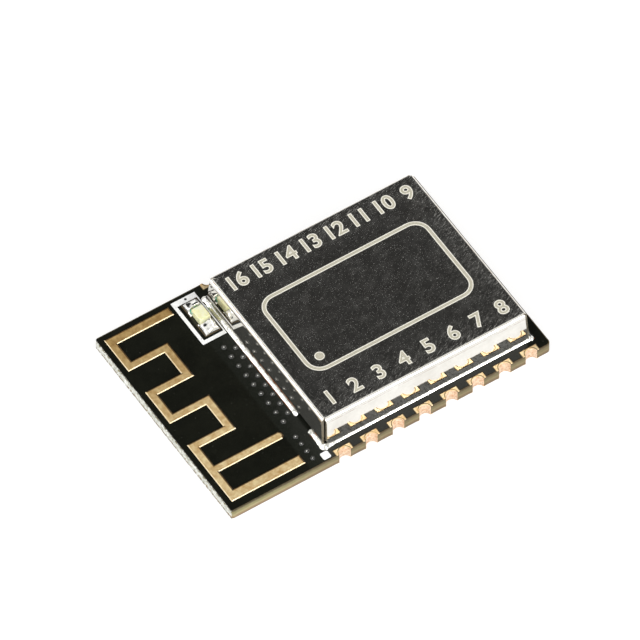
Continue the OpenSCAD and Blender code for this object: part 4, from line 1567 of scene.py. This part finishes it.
@dataclass
class StatusLed:
    """The chip LED: base, terminals, cast lens, and the solder at both ends.

    Attributes:
        lens_round_mm: Rounding of the lens's edges.
        terminal_mm: Length of a CAD terminal along the LED.
        far_terminal_mm: Length of the far one, which leaves a strip of the base bare.
        over_mm: How far the near and the far heap reach over the terminal's top.
        crest_mm: How far a heap stands above it.
        land_mm: Length of a land.
        film: Height of the solder on the rest of the land, as a share of the heap's.
        lump: Unevenness of a heap.
        slope_mm: Lengths over which a heap rises, falls behind its crest, and ends.
        cells: Number of faces across a heap and along it.
    """

    lens_round_mm: float = 0.05
    terminal_mm: float = 0.2
    far_terminal_mm: float = 0.1
    over_mm: tuple[float, float] = (0.24, 0.11)
    crest_mm: float = 0.11
    land_mm: float = 1.05
    film: float = 0.3
    lump: float = 0.3
    slope_mm: Point = (0.14, 0.09, 0.05)
    cells: tuple[int, int] = (18, 26)

    def terminals(self) -> None:
        """Makes the end terminals, of which the far one is shorter."""
        caps = merged_copy("led_terminals", "led_end_terminals", MATT_TIN)
        end = extent("led_terminals")[1].y
        for vert in caps.data.vertices:
            if abs(vert.co.y / MM - (end - self.terminal_mm)) < 0.01:
                vert.co.y = (end - self.far_terminal_mm) * MM
        settle(caps, Slot.TIN, "led_terminals")

    def heap(self, end: int, deep: float, v: float, shoulder: float) -> float:
        """Gives a heap's height at one point, as a share of its full height.

        Args:
            end: 0 for the near heap, 1 for the far one.
            deep: The point's distance from the land's outer edge.
            v: Its place across the land, from -1 to 1.
            shoulder: Distance from that edge at which the heap ends.

        Returns:
            The height's share.
        """
        rise, fall, stop = self.slope_mm
        lump = noise.noise(Vector((deep * 2.6 + end * 7, v * 1.5, 2.4)))
        front = min(1.0, deep / rise) ** 0.5 * min(1.0, 0.5 + deep)
        back = min(1.0, max(0.0, (shoulder - deep) / fall)) ** 0.5
        film = self.film * min(front, 1.0, (self.land_mm - deep) / stop)
        return max(front * back * (1 + self.lump * lump), film) * math.sqrt(1 - abs(v) ** 3.5)

    def solder(self) -> None:
        """Heaps solder on both lands, up the terminals and a little over their tops."""
        low, high = extent("led_solder")
        led_low, led_high = extent("led_terminals")
        points: list[Point] = []
        faces: list[Face] = []
        across, along = self.cells
        row = across + 1
        tall = led_high.z + self.crest_mm - low.z
        for end, (outer, edge, towards) in enumerate((
                (low.y, led_low.y, 1), (high.y, led_high.y, -1))):
            base, shoulder = len(points), abs(edge - outer) + self.over_mm[end]
            for i in range(along + 1):
                deep = self.land_mm * (i / along)
                points += [(low.x + (high.x - low.x) * j / across, outer + towards * deep,
                            low.z + tall * self.heap(end, deep, 2 * j / across - 1, shoulder))
                           for j in range(row)]
            faces += quads(along + 1, row, base)
            under = len(points)
            ring = [*range(base, base + row),
                    *(base + i * row + across for i in range(1, along + 1)),
                    *(base + along * row + j for j in range(across - 1, -1, -1)),
                    *(base + i * row for i in range(along - 1, 0, -1))]
            points += [(points[k][0], points[k][1], low.z - 0.001) for k in ring]
            count = len(ring)
            faces += [(ring[k], ring[(k + 1) % count], under + (k + 1) % count, under + k)
                      for k in range(count)]
            faces.append(tuple(range(under, under + count)))
        name = "led_solder_heaps"
        settle(place_piece(name, mesh_of(name, points, faces), SOLDER), Slot.SOLDER, "led_solder")

    def build(self) -> None:
        """Rounds the lens, and makes the terminals and their solder."""
        lens = merged_copy("led_lens", "led_cast_lens", LED_RESIN)
        round_edges(lens, self.lens_round_mm, 3)
        settle(lens, Slot.LED_LENS, "led_lens")
        self.terminals()
        self.solder()
        dress({"led_base": LED_SUBSTRATE})


@dataclass
class ShieldedCircuit:
    """Everything under the can, dressed as the CAD shapes it."""

    def build(self) -> None:
        """Dresses the chips, the crystal and the chip parts."""
        dress({"soc_body": MOULD_COMPOUND, "soc_lead_frame": MATT_TIN,
               "flash_body": MOULD_COMPOUND, "flash_leads": MATT_TIN,
               "crystal_base": ALUMINA_DARK, "crystal_pads": KOVAR, "crystal_lid": KOVAR,
               "capacitor_bodies": TITANATE, "capacitor_caps": MATT_TIN,
               "resistor_bodies": MOULD_COMPOUND, "resistor_caps": MATT_TIN,
               "inductor_bodies": FERRITE, "inductor_caps": MATT_TIN})


# ---------------------------------------------------------------- studio


@dataclass
class Studio:
    """A white table in soft light, with a dark ceiling behind the object.

    Attributes:
        table_m: Side of the table.
        gap_m: How far the table lies below the object, so that their faces don't meet.
        table_tones: The table's colour for the light it throws, and as it is seen, as sRGB hex.
        table_glow: Light that lifts the seen table to white.
        dark_towards: Direction of the ceiling's dark part.
        dark_half_deg: Half its angle.
        dark_soft_deg: Angle over which it fades.
        dark_level: Its light.
        sky_level: The light of all the rest.
        sky_tone: That light's colour.
        lamps: Each soft box's name, place and side in metres, and power in watts.
    """

    table_m: float = 3.0
    gap_m: float = 2e-6
    table_tones: tuple[str, str] = ("dcdcdc", "a8a8a8")
    table_glow: float = 0.71
    dark_towards: Point = (0.42, 0.63, 0.66)
    dark_half_deg: float = 42.0
    dark_soft_deg: float = 14.0
    dark_level: float = 0.03
    sky_level: float = 1.0
    sky_tone: tuple[float, ...] = (1.0, 1.0, 0.985, 1.0)
    lamps: tuple[tuple[str, Point, float, float], ...] = (
        ("softbox_front", (0.19, -0.48, 0.3), 0.22, 1.5),
        ("softbox_left", (-0.42, -0.14, 0.4), 0.3, 0.9),
        ("strip_back", (-0.482, 0.302, 0.192), 0.2, 0.22))

    def table(self) -> None:
        """Lays the white table, which keeps the object's faint shadow."""
        half = self.table_m / 2
        mesh = bpy.data.meshes.new("table")
        mesh.from_pydata([(sx * half, sy * half, -self.gap_m)
                          for sx, sy in ((-1, -1), (1, -1), (1, 1), (-1, 1))], [], [(0, 1, 2, 3)])
        table = place_piece("table", mesh)
        material = bpy.data.materials.new("table_white_laminate")
        material.use_nodes = True
        graph = Graph(material.node_tree)
        ray = graph.add("LightPath").node.outputs
        seen = ray["Is Camera Ray"]
        for kind in ("Is Glossy Ray", "Is Transmission Ray"):
            seen = graph.add("Math", (seen, ray[kind]), operation="MAXIMUM")
        matt, dim = (graph.add("BsdfDiffuse", (linear(tone),)) for tone in self.table_tones)
        glow = graph.add("Emission", {"Color": (1, 1, 1, 1), "Strength": self.table_glow})
        lit = graph.add("AddShader", (dim, glow))
        graph.add("OutputMaterial", {"Surface": graph.add("MixShader", (seen, matt, lit))})
        mesh.materials.append(material)

    def sky(self) -> None:
        """Sets the soft light all round and the dark part of the ceiling."""
        world = bpy.data.worlds.new("studio")
        bpy.context.scene.world = world
        world.use_nodes = True
        graph = Graph(world.node_tree)
        way = graph.add("TexCoord", out="Generated")
        towards = tuple(Vector(self.dark_towards).normalized())
        near = graph.add("VectorMath", (way, towards), "Value", operation="DOT_PRODUCT")
        outer, inner = (math.cos(math.radians(self.dark_half_deg + side * self.dark_soft_deg / 2))
                        for side in (1, -1))
        level = graph.add("MapRange", (near, outer, inner, self.sky_level, self.dark_level),
                          interpolation_type="SMOOTHSTEP")
        soft = graph.add("Background", {"Color": self.sky_tone, "Strength": level})
        white = graph.add("Background", {"Color": (1, 1, 1, 1), "Strength": 1.0})
        seen = graph.add("LightPath", out="Is Camera Ray")
        graph.add("OutputWorld", {"Surface": graph.add("MixShader", (seen, soft, white))})

    def build(self) -> None:
        """Sets the table, the sky, the lamps and the view transform."""
        self.table()
        self.sky()
        for name, place, size, watts in self.lamps:
            light = bpy.data.lights.new(name, "AREA")
            light.energy, light.size = watts, size
            holder = bpy.data.objects.new(name, light)
            holder.location = place
            holder.rotation_euler = (-Vector(place)).to_track_quat("-Z", "Y").to_euler()
            bpy.context.scene.collection.objects.link(holder)
        bpy.context.scene.view_settings.view_transform = "Standard"
        log.info("studio: built")


@dataclass
class ProductCamera:
    """A long lens that looks down on the module's antenna end.

    Attributes:
        target_mm: The point that it looks at.
        distance_mm: Its distance from there.
        azimuth_deg: Its direction from the target, round from -Y.
        elevation_deg: Its height over the table, as an angle.
        roll_deg: Its turn about its own axis.
        focal_mm: Its focal length.
        sensor_mm: Width of its sensor.
    """

    target_mm: Point = (0.481, 1.035, 1.6)
    distance_mm: float = 783.53
    azimuth_deg: float = -32.399
    elevation_deg: float = 53.421
    roll_deg: float = -0.63
    focal_mm: float = 698.44
    sensor_mm: float = 36.0

    def build(self) -> None:
        """Sets the camera up and makes it the scene's own."""
        data = bpy.data.cameras.new("product_camera")
        data.lens, data.sensor_width = self.focal_mm, self.sensor_mm
        camera = bpy.data.objects.new("product_camera", data)
        azimuth, elevation = math.radians(self.azimuth_deg), math.radians(self.elevation_deg)
        back = Vector((math.sin(azimuth) * math.cos(elevation),
                       -math.cos(azimuth) * math.cos(elevation), math.sin(elevation)))
        camera.location = (Vector(self.target_mm) + back * self.distance_mm) * MM
        aim = (-back).to_track_quat("-Z", "Y").to_matrix()
        roll = Matrix.Rotation(math.radians(self.roll_deg), 3, "Z")
        camera.rotation_euler = (aim @ roll).to_euler()
        bpy.context.scene.collection.objects.link(camera)
        bpy.context.scene.camera = camera
        log.info("camera: built")


def main() -> None:
    """Builds every sub-assembly in order."""
    logging.basicConfig(level=logging.INFO, format="%(name)s: %(message)s")
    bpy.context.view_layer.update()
    can = ShieldCan()
    for part in (ProductCamera(), CircuitBoard(), TentedVias(), can, SolderSeam(can), LidMarks(),
                 StatusLed(), ShieldedCircuit(), Studio()):
        part.build()


if __name__ == "__main__":
    main()
